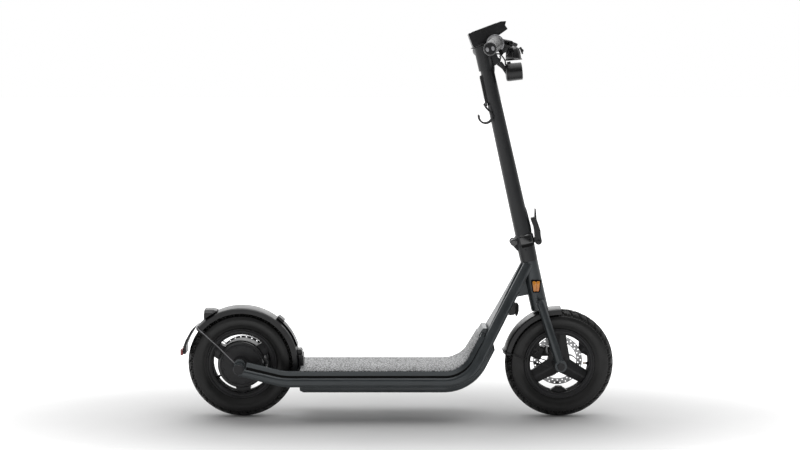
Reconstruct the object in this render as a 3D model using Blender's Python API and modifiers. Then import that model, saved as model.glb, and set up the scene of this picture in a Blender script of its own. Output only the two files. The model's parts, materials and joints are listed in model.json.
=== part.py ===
"""Folding electric kick scooter with two air tyres, a hub motor and a curved deck.

Metres, +X forward, +Y to the rider's left, +Z up, origin on the floor under the middle.
"""
import bmesh
import bpy
from math import asin, atan2, cos, hypot, pi, radians, sin, tan
from mathutils import Matrix, Vector

# Fits
GAP = 0.0003
PLAY = 0.0020
TURN_GAP = 0.0008

# Wheels
TYRE_R = 0.159
TYRE_HALF_W = 0.031
TYRE_WALL = 0.006
BEAD_R = 0.1035
SEAT_R = 0.0985
RIM_HALF_W = 0.0260
RIM_INNER_R = 0.0865
SPOKE_HALF_T = 0.014
FRONT_HUB_R = 0.021
FRONT_HUB_HALF_W = 0.034
AXLE_R = 0.007
ROTOR_R = 0.0725
ROTOR_T = 0.0020
ROTOR_BAND = 0.017
VENTS = 12
VENT_R = 0.0028
DRUM_R = 0.067
DRUM_HALF_W = 0.040
DRUM_WALL = 0.004
CORE_R = 0.059
CORE_HALF_W = 0.027
REAR_AXLE_R = 0.008
CAP_R = 0.0145
CAP_T = 0.007

# Layout
WHEELBASE = 0.931
HEAD_LEAN = radians(12.8)
FORK_OFFSET = 0.021

# Rails
RAIL_Z = 0.119
RAIL_REAR_DROP = 0.009
RAIL_KNEE = 0.1265
RAIL_KNEE_R = 0.180
RAIL_BEND_R = 0.107
RAIL_LEAN = radians(28.2)
RAIL_Y = 0.097
RAIL_HEAD_Y = 0.018
RAIL_W = 0.026
RAIL_HEAD_W = 0.020
RAIL_H_REAR = 0.025
RAIL_H = 0.029
RAIL_H_FRONT = 0.032
RAIL_CORNER = 0.009
TAPER_LAG = 0.0
TAPER_BLEND = 0.080
BAND_T = 0.012
BAND_LIFT = 0.006
BAND_SETBACK = 0.0035
BAND_W = 0.0105
DROPOUT_R = 0.0165
DROPOUT_T = 0.007
DROPOUT_TOP = 0.009

# Deck
DECK_ROOM = 0.014
DECK_RISE = 0.0652
DECK_DROP = 0.004
HOUSING_DEPTH = 0.035
HOUSING_DEPTH_FRONT = 0.031
HOUSING_RISE = 0.0622
HOUSING_NOSE = 0.013
HOUSING_WALL = 0.005
HOUSING_CORNER = 0.010
MAT_T = 0.0025
MAT_OVERHANG = 0.0010
TRAY_T = 0.0105
END_CAP_X = 0.2605
END_CAP_Z = 0.2685
END_CAP_L = 0.012
END_CAP_HALF_W = 0.051
BATTERY_REAR_X = -0.190
BATTERY_FRONT_X = 0.110
BATTERY_H = 0.040
CONTROLLER_L = 0.066
CONTROLLER_HALF_W = 0.055
CONTROLLER_H = 0.030
COVER_RISE = 0.0902
COVER_PROUD = 0.0055
COVER_T = 0.012
PORT_DROP_LOW = Vector((0.0368, 0.1517))
PORT_DROP_TOP = Vector((0.0348, 0.1177))
PORT_HALF_W = 0.013

# Head tube and fork
HEAD_R = 0.025
HEAD_WALL = 0.004
CROWN_TOP = 0.2000
HEAD_TOP = 0.3140
STEERER_R = 0.0143
BEARING_H = 0.010
LEG_Y = 0.055
LEG_TOP_R = 0.0120
LEG_END_R = 0.0140
LEG_TOP_N = 0.004
LEG_TOP_S = 0.190
LEG_FOOT_R = 0.0170
CROSS_R = 0.013
GUSSET_HALF_W = 0.010
LEG_FOOT_HALF_T = LEG_END_R + 0.0006

# Fold joint
BLOCK_R = 0.026
BLOCK_TOP = 0.3627
PIN_N = -0.033
PIN_S = 0.378
PIN_R = 0.0035
EAR_R = 0.0078
LUG_HALF_W = 0.008
EAR_HALF_W = 0.018
COLLAR_R = 0.0280
COLLAR_TOP = 0.3930
LEVER_N = 0.0385
LEVER_S = 0.3645
LEVER_BOSS_R = 0.0100
LEVER_HALF_W = 0.012
LEVER_PIN_R = 0.0025
TONGUE_HALF_W = 0.005

# Stem
STEM_R_LOW = 0.0240
STEM_R_TOP = 0.0197
STEM_WALL = 0.003
STEM_TOP = 0.900
SLEEVE_R = 0.0235
HEAD_CAST_LOW = 0.8830
HEAD_CAST_TOP = 0.9553
BAR_N = 0.036
BAR_S = 0.9555
CLAMP_R = 0.0205
CLAMP_HALF_W = 0.034
BAR_R = 0.0155
BAR_END_R = 0.0110
BAR_BEND_Y = 0.075
BAR_TAPER_Y = 0.135
GRIP_IN_Y = 0.192
GRIP_OUT_Y = 0.320
GRIP_IN_N = 0.027
GRIP_IN_S = 0.9515
GRIP_OUT_N = 0.003
GRIP_OUT_S = 0.9410
GRIP_R = 0.0172
GRIP_FLANGE_R = 0.0215
DISPLAY_HALF_W = 0.035
PERCH_Y = 0.166
PERCH_IN_Y = 0.130
PERCH_OUT_Y = 0.172
PERCH_REACH = 0.046
PERCH_HALF_H = 0.0090
BRAKE_TILT = radians(25)
BRAKE_RISE = 0.005
BRAKE_REACH = 0.038
BRAKE_PIVOT_Y = 0.148
BRAKE_HALF_H = 0.0042

# Lamp, bell, hook
LAMP_R = 0.0258
LAMP_REAR_N = 0.057
LAMP_REAR_S = 0.8625
LAMP_L = 0.041
LAMP_DROP = radians(7.0)
BELL_N = 0.0735
BELL_S = 0.8970
BELL_Y = -0.118
BELL_R = 0.0210
BELL_TILT = radians(8.0)
BELL_H = 0.036
STRIKER_N = BELL_N + BELL_R + 0.0030
STRIKER_S = BELL_S + BELL_H * 0.80
HOOK_LOW = 0.7900
HOOK_TOP = 0.8710
HOOK_PIN_N = -0.0275
HOOK_PIN_S = 0.7865
HOOK_CURL_R = 0.0195
HOOK_CURL_N = -0.0335
HOOK_CURL_S = 0.7530
HOOK_HALF_W = 0.0205
HOOK_WIRE_R = 0.0026

# Fenders and lamps at the rear
FENDER_T = 0.0025
FENDER_HALF_W = 0.0365
FENDER_CROWN = 0.005
FENDER_SKIRT = 0.015
REAR_FENDER_ROOM = 0.011
FRONT_FENDER_ROOM = 0.008
TAIL_LEAN = 0.6353
PLATE_ANGLE = radians(143.1)
PLATE_REACH = 0.04205
STAY_R = 0.0017
STAND_X = 0.040
STAND_Y = 0.097
STAND_Z = 0.0925
STAND_L = 0.108
STAND_R = 0.0075
STAND_OUT = (0.36, 0.50, -0.788)

# Placement worked out from the sizes above
AXLE_Z = TYRE_R
REAR_FENDER_R = TYRE_R + REAR_FENDER_ROOM
FRONT_FENDER_R = TYRE_R + FRONT_FENDER_ROOM
REAR_REACH = PLATE_REACH - REAR_FENDER_R * cos(PLATE_ANGLE)
FRONT_X = (WHEELBASE + REAR_REACH + TYRE_R) / 2 - TYRE_R
REAR_X = FRONT_X - WHEELBASE
DECK_REAR_X = REAR_X + TYRE_R + DECK_ROOM
STEER_FOOT = Vector((FRONT_X - FORK_OFFSET * cos(HEAD_LEAN), 0, AXLE_Z - FORK_OFFSET * sin(HEAD_LEAN)))
STEER = Matrix.Translation(STEER_FOOT) @ Matrix.Rotation(-HEAD_LEAN, 4, 'Y')
ACROSS = Matrix.Rotation(-pi / 2, 4, 'X')
FRONT_WHEEL = Matrix.Translation((FRONT_X, 0, AXLE_Z)) @ ACROSS
REAR_WHEEL = Matrix.Translation((REAR_X, 0, AXLE_Z)) @ ACROSS
CROWN_LOW = FRONT_FENDER_R + GAP
DROPOUT_FACE = RAIL_Y + RAIL_W / 2 + 0.0008
MAT_LOW = RAIL_H / 2 + BAND_LIFT + BAND_T + GAP
HOUSING_TOP = MAT_LOW - TRAY_T - GAP - GAP


# Scene and helpers

def clear_scene():
    for obj in list(bpy.data.objects):
        bpy.data.objects.remove(obj, do_unlink=True)


def collection(name):
    group = bpy.data.collections.new(name)
    bpy.context.scene.collection.children.link(group)
    return group


def material(name, color, roughness, metallic=0.0):
    made = bpy.data.materials.new(name)
    made.use_nodes = True
    shader = made.node_tree.nodes["Principled BSDF"]
    shader.inputs["Base Color"].default_value = (*color, 1.0)
    shader.inputs["Roughness"].default_value = roughness
    shader.inputs["Metallic"].default_value = metallic
    made.diffuse_color = (*color, 1.0)
    return made


clear_scene()
PARTS = collection("electric_scooter")
CUTTERS = collection("cutters")
FRAME_PAINT = material("frame_paint", (0.070, 0.078, 0.088), 0.38, 0.35)
STEM_PAINT = material("stem_paint", (0.028, 0.029, 0.031), 0.45, 0.2)
BLACK_PLASTIC = material("black_plastic", (0.022, 0.022, 0.024), 0.55)
RUBBER = material("rubber", (0.020, 0.020, 0.021), 0.80)
TYRE_RUBBER = material("tyre_rubber", (0.030, 0.030, 0.031), 0.85)
CAST_BLACK = material("cast_black", (0.030, 0.031, 0.033), 0.42, 0.4)
STEEL = material("steel", (0.55, 0.55, 0.56), 0.30, 1.0)
DECK_MAT = material("deck_mat", (0.16, 0.16, 0.16), 0.85)
ORANGE = material("orange_reflector", (0.95, 0.32, 0.02), 0.25)
RED = material("red_lens", (0.55, 0.02, 0.02), 0.25)
CLEAR = material("lamp_lens", (0.80, 0.82, 0.84), 0.08)
CELLS = material("battery_wrap", (0.05, 0.13, 0.32), 0.50)


def add(name, data, paint, frame=Matrix.Identity(4), group=None):
    obj = bpy.data.objects.new(name, data)
    (group or PARTS).objects.link(obj)
    obj.matrix_world = frame
    if paint is not None:
        data.materials.append(paint)
    return obj


def smooth(obj, angle=35):
    obj.data.shade_smooth()
    obj.data.set_sharp_from_angle(angle=radians(angle))
    return obj


def as_cutter(obj):
    for owner in list(obj.users_collection):
        owner.objects.unlink(obj)
    CUTTERS.objects.link(obj)
    obj.hide_render = True
    obj.display_type = 'WIRE'
    return obj


def combine(obj, other, operation):
    step = obj.modifiers.new(operation.lower(), 'BOOLEAN')
    step.operation = operation
    step.solver = 'EXACT'
    step.object = as_cutter(other)
    return obj


def cut(obj, *others):
    for other in others:
        combine(obj, other, 'DIFFERENCE')
    return obj


def join(obj, *others):
    for other in others:
        combine(obj, other, 'UNION')
    return obj


def bevel(obj, width, segments=1, angle=40):
    step = obj.modifiers.new("bevel", 'BEVEL')
    step.width = width
    step.segments = segments
    step.limit_method = 'ANGLE'
    step.angle_limit = radians(angle)
    return obj


def curve_to_mesh(obj):
    bpy.context.view_layer.update()
    graph = bpy.context.evaluated_depsgraph_get()
    mesh = bpy.data.meshes.new_from_object(obj.evaluated_get(graph))
    work = bmesh.new()
    work.from_mesh(mesh)
    bmesh.ops.remove_doubles(work, verts=work.verts, dist=0.00001)
    bmesh.ops.recalc_face_normals(work, faces=work.faces)
    work.to_mesh(mesh)
    work.free()
    made = bpy.data.objects.new(obj.name, mesh)
    for owner in obj.users_collection:
        owner.objects.link(made)
    made.matrix_world = obj.matrix_world
    name = obj.name
    bpy.data.objects.remove(obj, do_unlink=True)
    made.name = name
    return made


def plate(name, outline, low, high, paint, frame=Matrix.Identity(4), holes=()):
    """Flat outline in the frame's X-Z plane, from low to high along its Y."""
    data = bpy.data.curves.new(name, 'CURVE')
    data.dimensions = '2D'
    data.fill_mode = 'BOTH'
    data.extrude = (high - low) / 2
    for loop in (outline, *holes):
        spline = data.splines.new('POLY')
        spline.points.add(len(loop) - 1)
        for point, (x, z) in zip(spline.points, loop):
            point.co = (x, z, 0, 1)
        spline.use_cyclic_u = True
    place = Matrix.Translation((0, (high + low) / 2, 0)) @ Matrix.Rotation(pi / 2, 4, 'X')
    return curve_to_mesh(add(name, data, paint, frame @ place))


def tube(name, points, radii, paint, frame=Matrix.Identity(4), sides=3):
    """Round bar through the points, with one radius or one for each point."""
    data = bpy.data.curves.new(name, 'CURVE')
    data.dimensions = '3D'
    data.use_fill_caps = True
    data.bevel_resolution = sides
    data.twist_mode = 'MINIMUM'
    data.bevel_depth = 1.0
    spline = data.splines.new('POLY')
    spline.points.add(len(points) - 1)
    sizes = radii if isinstance(radii, (list, tuple)) else [radii] * len(points)
    for point, place, size in zip(spline.points, points, sizes):
        point.co = (*place, 1)
        point.radius = size
    return smooth(curve_to_mesh(add(name, data, paint, frame)))


def rod(name, radius, low, high, paint, frame=Matrix.Identity(4), sides=24, top=None):
    """Cylinder or cone along the frame's Z."""
    mesh = bpy.data.meshes.new(name)
    work = bmesh.new()
    middle = Matrix.Translation((0, 0, (low + high) / 2))
    bmesh.ops.create_cone(work, cap_ends=True, segments=sides, radius1=radius,
                          radius2=radius if top is None else top, depth=high - low, matrix=middle)
    work.to_mesh(mesh)
    work.free()
    return smooth(add(name, mesh, paint, frame))


def block(name, low, high, paint, frame=Matrix.Identity(4)):
    mesh = bpy.data.meshes.new(name)
    work = bmesh.new()
    size = [b - a for a, b in zip(low, high)]
    middle = Matrix.Translation([(a + b) / 2 for a, b in zip(low, high)])
    bmesh.ops.create_cube(work, size=1.0, matrix=middle @ Matrix.Diagonal((*size, 1)))
    work.to_mesh(mesh)
    work.free()
    return add(name, mesh, paint, frame)


def turned(name, profile, paint, frame, steps=40, closed=False, angle=2 * pi):
    """Profile of (radius, height) points turned about the frame's Z."""
    mesh = bpy.data.meshes.new(name)
    edges = [(i, i + 1) for i in range(len(profile) - 1)]
    if closed:
        edges.append((len(profile) - 1, 0))
    mesh.from_pydata([(r, 0, z) for r, z in profile], edges, [])
    obj = add(name, mesh, paint, frame)
    step = obj.modifiers.new("turn", 'SCREW')
    step.axis = 'Z'
    step.angle = angle
    step.steps = steps
    step.render_steps = steps
    step.use_merge_vertices = angle > 6.28
    step.merge_threshold = 0.00001
    step.use_smooth_shade = True
    return obj


def loft(name, rings, paint, frame=Matrix.Identity(4)):
    """Skin over rings with the same number of points, closed at both ends."""
    mesh = bpy.data.meshes.new(name)
    work = bmesh.new()
    rows = [[work.verts.new(point) for point in ring] for ring in rings]
    count = len(rings[0])
    for first, second in zip(rows, rows[1:]):
        for i in range(count):
            j = (i + 1) % count
            work.faces.new((first[i], first[j], second[j]))
            work.faces.new((first[i], second[j], second[i]))
    work.faces.new(rows[0])
    work.faces.new(rows[-1])
    bmesh.ops.recalc_face_normals(work, faces=work.faces)
    work.to_mesh(mesh)
    work.free()
    return smooth(add(name, mesh, paint, frame))


def ring_points(radius, count, center=(0, 0), start=0.0):
    return [(center[0] + radius * cos(start + 2 * pi * i / count),
             center[1] + radius * sin(start + 2 * pi * i / count)) for i in range(count)]


def arc(center, radius, first, last, count):
    """Points on an arc, angles in radians, both ends included."""
    return [(center[0] + radius * cos(first + (last - first) * i / (count - 1)),
             center[1] + radius * sin(first + (last - first) * i / (count - 1))) for i in range(count)]


def aim(start, toward):
    """Frame at start with its Z pointing toward."""
    direction = Vector(toward) - Vector(start)
    return Matrix.Translation(start) @ direction.to_track_quat('Z', 'Y').to_matrix().to_4x4()


def cross(frame, n, s, y=0.0):
    """Frame at a point of the given frame, with its Z across the scooter."""
    return frame @ Matrix.Translation((n, y, s)) @ ACROSS


def curve_through(points, per_span=4):
    """Smooth points through the given ones."""
    places = [Vector(p) for p in points]
    padded = [2 * places[0] - places[1], *places, 2 * places[-1] - places[-2]]
    made = []
    for a, b, c, d in zip(padded, padded[1:], padded[2:], padded[3:]):
        for i in range(per_span):
            t = i / per_span
            made.append(0.5 * (2 * b + (c - a) * t + (2 * a - 5 * b + 4 * c - d) * t * t
                               + (3 * b - a - 3 * c + d) * t ** 3))
    return [*made, places[-1]]


def pivot(name, location):
    empty = bpy.data.objects.new(name, None)
    PARTS.objects.link(empty)
    empty.empty_display_size = 0.03
    empty.matrix_world = Matrix.Translation(location)
    return empty


def hang(parent, *children):
    bpy.context.view_layer.update()
    for child in children:
        child.parent = parent
        child.matrix_parent_inverse = parent.matrix_world.inverted()


# The rails' centre line, seen from the side

RAIL_START = Vector((REAR_X, AXLE_Z - RAIL_REAR_DROP))
KNEE = Vector((REAR_X + RAIL_KNEE, RAIL_Z))
HEAD_MEET = STEER @ Vector((-0.004, 0, HEAD_TOP - 0.006))
RAIL_END = Vector((HEAD_MEET.x, HEAD_MEET.z))
BEND = Vector((RAIL_END.x - (RAIL_END.y - RAIL_Z) * tan(RAIL_LEAN), RAIL_Z))


def rail_segments():
    """Lines and arcs as (kind, start, heading, length, radius)."""
    corners = [RAIL_START, KNEE, BEND, RAIL_END]
    radii = [RAIL_KNEE_R, RAIL_BEND_R]
    made = []
    start = corners[0]
    for index in range(3):
        along = corners[index + 1] - corners[index]
        heading = atan2(along.y, along.x)
        stop = corners[index + 1]
        if index < 2:
            after = corners[index + 2] - corners[index + 1]
            turn = atan2(after.y, after.x) - heading
            stop = stop - along.normalized() * radii[index] * tan(turn / 2)
        made.append(('line', start, heading, (stop - start).length, 0.0))
        start = stop
        if index < 2:
            made.append(('arc', start, heading, radii[index] * turn, radii[index]))
            start = corners[index + 1] + after.normalized() * radii[index] * tan(turn / 2)
    return made


SEGMENTS = rail_segments()
RAIL_LENGTH = sum(segment[3] for segment in SEGMENTS)
FLAT_START = SEGMENTS[0][3] + SEGMENTS[1][3]
BEND_START = FLAT_START + SEGMENTS[2][3]
BEND_END = BEND_START + SEGMENTS[3][3]
DECK_END_S = BEND_END + DECK_RISE
HOUSING_END_S = BEND_END + HOUSING_RISE
COVER_START_S = BEND_END + COVER_RISE
PORT_LOW = RAIL_END - PORT_DROP_LOW
PORT_TOP = RAIL_END - PORT_DROP_TOP


def rail_at(s):
    """Point and heading at the distance s along the centre line."""
    for kind, start, heading, length, radius in SEGMENTS:
        if s <= length + 1e-9 or (kind, start) == SEGMENTS[-1][:2]:
            break
        s -= length
    if kind == 'line':
        return start + Vector((cos(heading), sin(heading))) * s, heading
    turned_by = s / radius
    center = start + Vector((-sin(heading), cos(heading))) * radius
    now = heading + turned_by
    return center + Vector((sin(now), -cos(now))) * radius, now


def beside(s, offset):
    """Side-view point at the offset above the centre line."""
    point, heading = rail_at(s)
    return point + Vector((-sin(heading), cos(heading))) * offset


def s_at_x(x):
    """Distance along the flat part at which the centre line passes x."""
    return FLAT_START + x - SEGMENTS[2][1].x


TAPER_START = BEND_START + TAPER_LAG
TAPER_SLOPE = (RAIL_Y - RAIL_HEAD_Y) / (RAIL_LENGTH - TAPER_START - TAPER_BLEND / 2)


def rail_y(s):
    """Half the spacing of the two rails' centre lines."""
    if s <= TAPER_START:
        return RAIL_Y
    if s <= TAPER_START + TAPER_BLEND:
        return RAIL_Y - TAPER_SLOPE * (s - TAPER_START) ** 2 / (2 * TAPER_BLEND)
    return RAIL_HEAD_Y + TAPER_SLOPE * (RAIL_LENGTH - s)


def between(s, table):
    """Straight-line interpolation in a table of (s, value)."""
    if s <= table[0][0]:
        return table[0][1]
    for (s0, v0), (s1, v1) in zip(table, table[1:]):
        if s <= s1:
            return v0 + (v1 - v0) * (s - s0) / (s1 - s0)
    return table[-1][1]


def rail_w(s):
    return between(s, [(TAPER_START, RAIL_W), (RAIL_LENGTH, RAIL_HEAD_W)])


def rail_h(s):
    return between(s, [(0.0, RAIL_H_REAR), (FLAT_START, RAIL_H), (BEND_START, RAIL_H),
                       (BEND_END, RAIL_H_FRONT), (RAIL_LENGTH, RAIL_H_FRONT * 0.88)])


def deck_drop(s):
    """How much lower the bands, the tray and the mat lie where the deck rises."""
    return between(s, [(BEND_START + 0.060, 0.0), (BEND_END + 0.020, DECK_DROP)])


def stations(first, last, extra=(), shift=0.0):
    """Distances from first to last, close together where the rail bends."""
    knots = [first, last, *extra]
    knots += [SEGMENTS[0][3] + SEGMENTS[1][3] * i / 4 for i in range(5)]
    knots += [BEND_START + SEGMENTS[3][3] * i / 9 for i in range(10)]
    knots += [BEND_END + (TAPER_START + TAPER_BLEND - BEND_END) * i / 3 for i in range(1, 4)]
    straight = RAIL_LENGTH - TAPER_START - TAPER_BLEND
    knots += [RAIL_LENGTH - straight * i / 3 for i in range(3)]
    knots[2:] = [s + shift for s in knots[2:]]
    kept = []
    for s in sorted(s for s in knots if first <= s <= last):
        if not kept or s - kept[-1] > 0.004:
            kept.append(s)
    kept[-1] = last
    return kept


def rounded_section(half_w, half_h, corner, per_corner=4):
    """Rounded rectangle of (sideways, upward) points."""
    made = []
    for index, (a, b) in enumerate(((1, 1), (-1, 1), (-1, -1), (1, -1))):
        center = (a * (half_w - corner), b * (half_h - corner))
        made += arc(center, corner, index * pi / 2, (index + 1) * pi / 2, per_corner)
    return made


def place_section(s, section, middle_y, side):
    """Section points of (sideways, upward) set at s along the rails."""
    made = []
    for sideways, upward in section:
        point = beside(s, upward)
        made.append((point.x, side * (middle_y + sideways), point.y))
    return made



# Frame

def side_rail(name, side):
    rings = []
    for s in stations(0.0, RAIL_LENGTH):
        section = rounded_section(rail_w(s) / 2, rail_h(s) / 2, RAIL_CORNER)
        rings.append(place_section(s, section, rail_y(s), side))
    rail = loft(name, rings, FRAME_PAINT)
    outer = RAIL_W / 2 - BAND_SETBACK
    bands = []
    for s in stations(0.016, DECK_END_S + 0.006, shift=0.006):
        low = RAIL_H / 2 + BAND_LIFT - deck_drop(s)
        edge = rail_w(s) / 2 - BAND_SETBACK
        neck = edge - BAND_SETBACK
        sunk = rail_h(s) / 2 - BAND_SETBACK
        inner = outer - BAND_W
        section = [(inner, sunk), (neck, sunk), (neck, low), (edge, low), (edge, low + BAND_T - 0.001),
                   (edge - 0.001, low + BAND_T), (inner, low + BAND_T)]
        bands.append(place_section(s, section, rail_y(s), side))
    join(rail, loft(name + "_band", bands, FRAME_PAINT))
    inner_y = RAIL_Y - RAIL_W / 2
    lobe = rod(name + "_boss", DROPOUT_R, inner_y - 0.0010, DROPOUT_FACE, FRAME_PAINT,
               Matrix.Translation((REAR_X, 0, AXLE_Z)) @ Matrix.Rotation(-side * pi / 2, 4, 'X'))
    tab = plate(name + "_tab", dropout_outline(), inner_y - 0.0005, inner_y + DROPOUT_T, FRAME_PAINT,
                Matrix.Diagonal((1, side, 1, 1)))
    flip_if_left(tab, side)
    join(rail, lobe, tab)
    bore = rod(name + "_bore", REAR_AXLE_R + GAP, inner_y - 0.01, RAIL_Y + RAIL_W, None,
               Matrix.Translation((REAR_X, 0, AXLE_Z)) @ Matrix.Rotation(-side * pi / 2, 4, 'X'))
    cut(rail, bore, head_room(name))
    if side > 0:
        join(rail, stand_bracket())
    return rail


def head_room(name):
    """Space taken by the head tube and by the hinge block above it."""
    around, above, top = HEAD_R + GAP, 0.060, HEAD_TOP + 0.050
    return turned(name + "_head_room", [(0.0, top), (above, top), (above, HEAD_TOP - GAP),
                                        (around, HEAD_TOP - GAP), (around, CROWN_TOP), (0.0, CROWN_TOP)],
                  None, STEER, steps=40)


def flip_if_left(obj, side):
    """Bakes the frame of a mirrored piece into its mesh."""
    obj.data.transform(obj.matrix_world)
    obj.matrix_world = Matrix.Identity(4)
    work = bmesh.new()
    work.from_mesh(obj.data)
    bmesh.ops.recalc_face_normals(work, faces=work.faces)
    work.to_mesh(obj.data)
    work.free()
    return obj


def dropout_outline():
    """Rounded plate that rises above the axle."""
    top = AXLE_Z + DROPOUT_TOP
    return [*arc((REAR_X, top), DROPOUT_R, 0, pi, 9), *arc((REAR_X, AXLE_Z), DROPOUT_R, pi, 2 * pi, 9)]


def stand_bracket():
    """Welded block under the left rail that carries the kickstand."""
    low = STAND_Z - STAND_R
    return block("stand_bracket", (STAND_X + GAP + STAND_R, STAND_Y - 0.010, low),
                 (STAND_X + 0.034, STAND_Y + 0.010, RAIL_Z - RAIL_H / 2 + 0.004), FRAME_PAINT)


def head_tube():
    body = turned("head_tube", [(HEAD_R, HEAD_TOP), (HEAD_R, CROWN_TOP + GAP),
                                (HEAD_R - HEAD_WALL, CROWN_TOP + GAP), (HEAD_R - HEAD_WALL, HEAD_TOP)],
                  FRAME_PAINT, STEER, steps=40, closed=True)
    low = CROWN_TOP + 0.0175
    rear = -0.062
    web = [(-HEAD_R + 0.002, low), (rear, low + 0.001), (rear - 0.005, low + 0.008),
           (-HEAD_R + 0.002, HEAD_TOP - 0.030)]
    gusset = plate("gusset", web, -GUSSET_HALF_W, GUSSET_HALF_W, FRAME_PAINT, STEER)
    return join(body, gusset)


def headset_bearing(name, low):
    outer = HEAD_R - HEAD_WALL - GAP
    inner = STEERER_R + GAP
    return turned(name, [(outer, low + BEARING_H), (outer, low), (inner, low), (inner, low + BEARING_H)],
                  STEEL, STEER, steps=32, closed=True)


def down_tube_cover():
    """Panel between the two rising tubes on the rider's side."""
    rings = []
    for s in stations(COVER_START_S, RAIL_LENGTH - 0.010):
        top = rail_h(s) / 2 + between(s, [(COVER_START_S, 0.0), (RAIL_LENGTH, COVER_PROUD)])
        half = rail_y(s) - rail_w(s) / 2 - GAP
        section = [(half, top - COVER_T), (half, top - 0.002), (half - 0.002, top),
                   (-half + 0.002, top), (-half, top - 0.002), (-half, top - COVER_T)]
        rings.append(place_section(s, section, 0.0, 1))
    cover = loft("down_tube_cover", rings, FRAME_PAINT)
    return cut(cover, head_room("cover"))


def side_reflector(name, side):
    """Wedge-shaped upright reflector seated on the head tube's side."""
    middle = STEER @ Vector((0.0024, 0, 0.2395))
    outline = [(middle.x + x, middle.z + z) for x, z in ((-0.0088, -0.0168), (0.0088, -0.0168),
                                                         (0.0126, 0.0168), (-0.0126, 0.0168))]
    pad = plate(name, outline, 0.0155, HEAD_R + 0.0035, ORANGE, Matrix.Diagonal((1, side, 1, 1)))
    flip_if_left(pad, side)
    bevel(pad, 0.0015)
    return cut(pad, rod(name + "_seat", HEAD_R + GAP, CROWN_TOP, HEAD_TOP, None, STEER, sides=48))


# Deck

def inside_rails(s):
    """Half the room between the rails."""
    return rail_y(s) - rail_w(s) / 2 - GAP


def inside_bands(s):
    """Half the room between the bands."""
    return rail_y(s) + RAIL_W / 2 - BAND_SETBACK - BAND_W - GAP


def battery_housing():
    first = s_at_x(DECK_REAR_X)
    rings = []
    for s in stations(first, HOUSING_END_S, (first + HOUSING_CORNER, HOUSING_END_S - HOUSING_NOSE)):
        half = inside_rails(s)
        depth = between(s, [(BEND_START, HOUSING_DEPTH), (BEND_END, HOUSING_DEPTH_FRONT),
                            (HOUSING_END_S - HOUSING_NOSE, HOUSING_DEPTH_FRONT),
                            (HOUSING_END_S, HOUSING_DEPTH_FRONT - HOUSING_CORNER)])
        if s == first:
            depth -= HOUSING_CORNER / 2
        c = HOUSING_CORNER
        top = HOUSING_TOP - deck_drop(s)
        section = [(half, top), (-half, top), (-half, c - depth), (-half + c * 0.3, c * 0.3 - depth),
                   (-half + c, -depth), (half - c, -depth), (half - c * 0.3, c * 0.3 - depth),
                   (half, c - depth)]
        rings.append(place_section(s, section, 0.0, 1))
    housing = loft("battery_housing", rings, FRAME_PAINT)
    wall = HOUSING_WALL
    half = RAIL_Y - RAIL_W / 2 - GAP - wall
    floor = RAIL_Z - HOUSING_DEPTH + wall
    room = block("battery_room", (DECK_REAR_X + wall, -half, floor),
                 (BATTERY_FRONT_X + wall, half, RAIL_Z + HOUSING_TOP + 0.01), None)
    return cut(housing, room)


def battery_pack():
    half = RAIL_Y - RAIL_W / 2 - HOUSING_WALL - 2 * GAP - PLAY
    floor = RAIL_Z - HOUSING_DEPTH + HOUSING_WALL + GAP
    pack = block("battery_pack", (BATTERY_REAR_X, -half, floor),
                 (BATTERY_FRONT_X, half, floor + BATTERY_H), CELLS)
    return bevel(pack, 0.003)


def motor_controller():
    floor = RAIL_Z - HOUSING_DEPTH + HOUSING_WALL + GAP
    rear = DECK_REAR_X + HOUSING_WALL + PLAY
    unit = block("motor_controller", (rear, -CONTROLLER_HALF_W, floor),
                 (rear + CONTROLLER_L, CONTROLLER_HALF_W, floor + CONTROLLER_H), CAST_BLACK)
    return bevel(unit, 0.002)


def on_rise(s, d):
    """World X and Z of a point at the distance s and height d over the rising centre line."""
    down = RAIL_LENGTH - s
    return (RAIL_END.x - down * sin(RAIL_LEAN) - d * cos(RAIL_LEAN),
            RAIL_END.y - down * cos(RAIL_LEAN) + d * sin(RAIL_LEAN))


def deck_tray():
    """Tray under the mat, with the level-topped end cap between the rising rails."""
    rings = []
    for s in stations(s_at_x(DECK_REAR_X), DECK_END_S + END_CAP_L):
        half = inside_bands(s)
        high = MAT_LOW - GAP - deck_drop(s)
        section = [(half, high - TRAY_T), (half, high), (-half, high), (-half, high - TRAY_T)]
        rings.append(place_section(s, section, 0.0, 1))
    tray = loft("deck_tray", rings, FRAME_PAINT)
    top = MAT_LOW + MAT_T - DECK_DROP
    outline = [on_rise(DECK_END_S, 0.010), on_rise(DECK_END_S, top),
               (END_CAP_X - END_CAP_L, END_CAP_Z), (END_CAP_X, END_CAP_Z), (END_CAP_X, END_CAP_Z - 0.0165)]
    return join(tray, plate("end_cap", outline, -END_CAP_HALF_W, END_CAP_HALF_W, FRAME_PAINT))


def deck_mat():
    first = s_at_x(DECK_REAR_X) + PLAY
    rings = []
    for s in stations(first, DECK_END_S - GAP):
        half = rail_y(s) + rail_w(s) / 2 - BAND_SETBACK - MAT_OVERHANG - deck_drop(s)
        low = MAT_LOW - deck_drop(s)
        high = low + MAT_T
        section = [(half, low), (half, high - 0.0008), (half - 0.0012, high),
                   (-half + 0.0012, high), (-half, high - 0.0008), (-half, low)]
        rings.append(place_section(s, section, 0.0, 1))
    return loft("deck_mat", rings, DECK_MAT)


def s_at_z(z):
    """Distance along the rising part at which the centre line is at the height z."""
    return RAIL_LENGTH - (RAIL_END.y - z) / cos(RAIL_LEAN)


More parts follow.
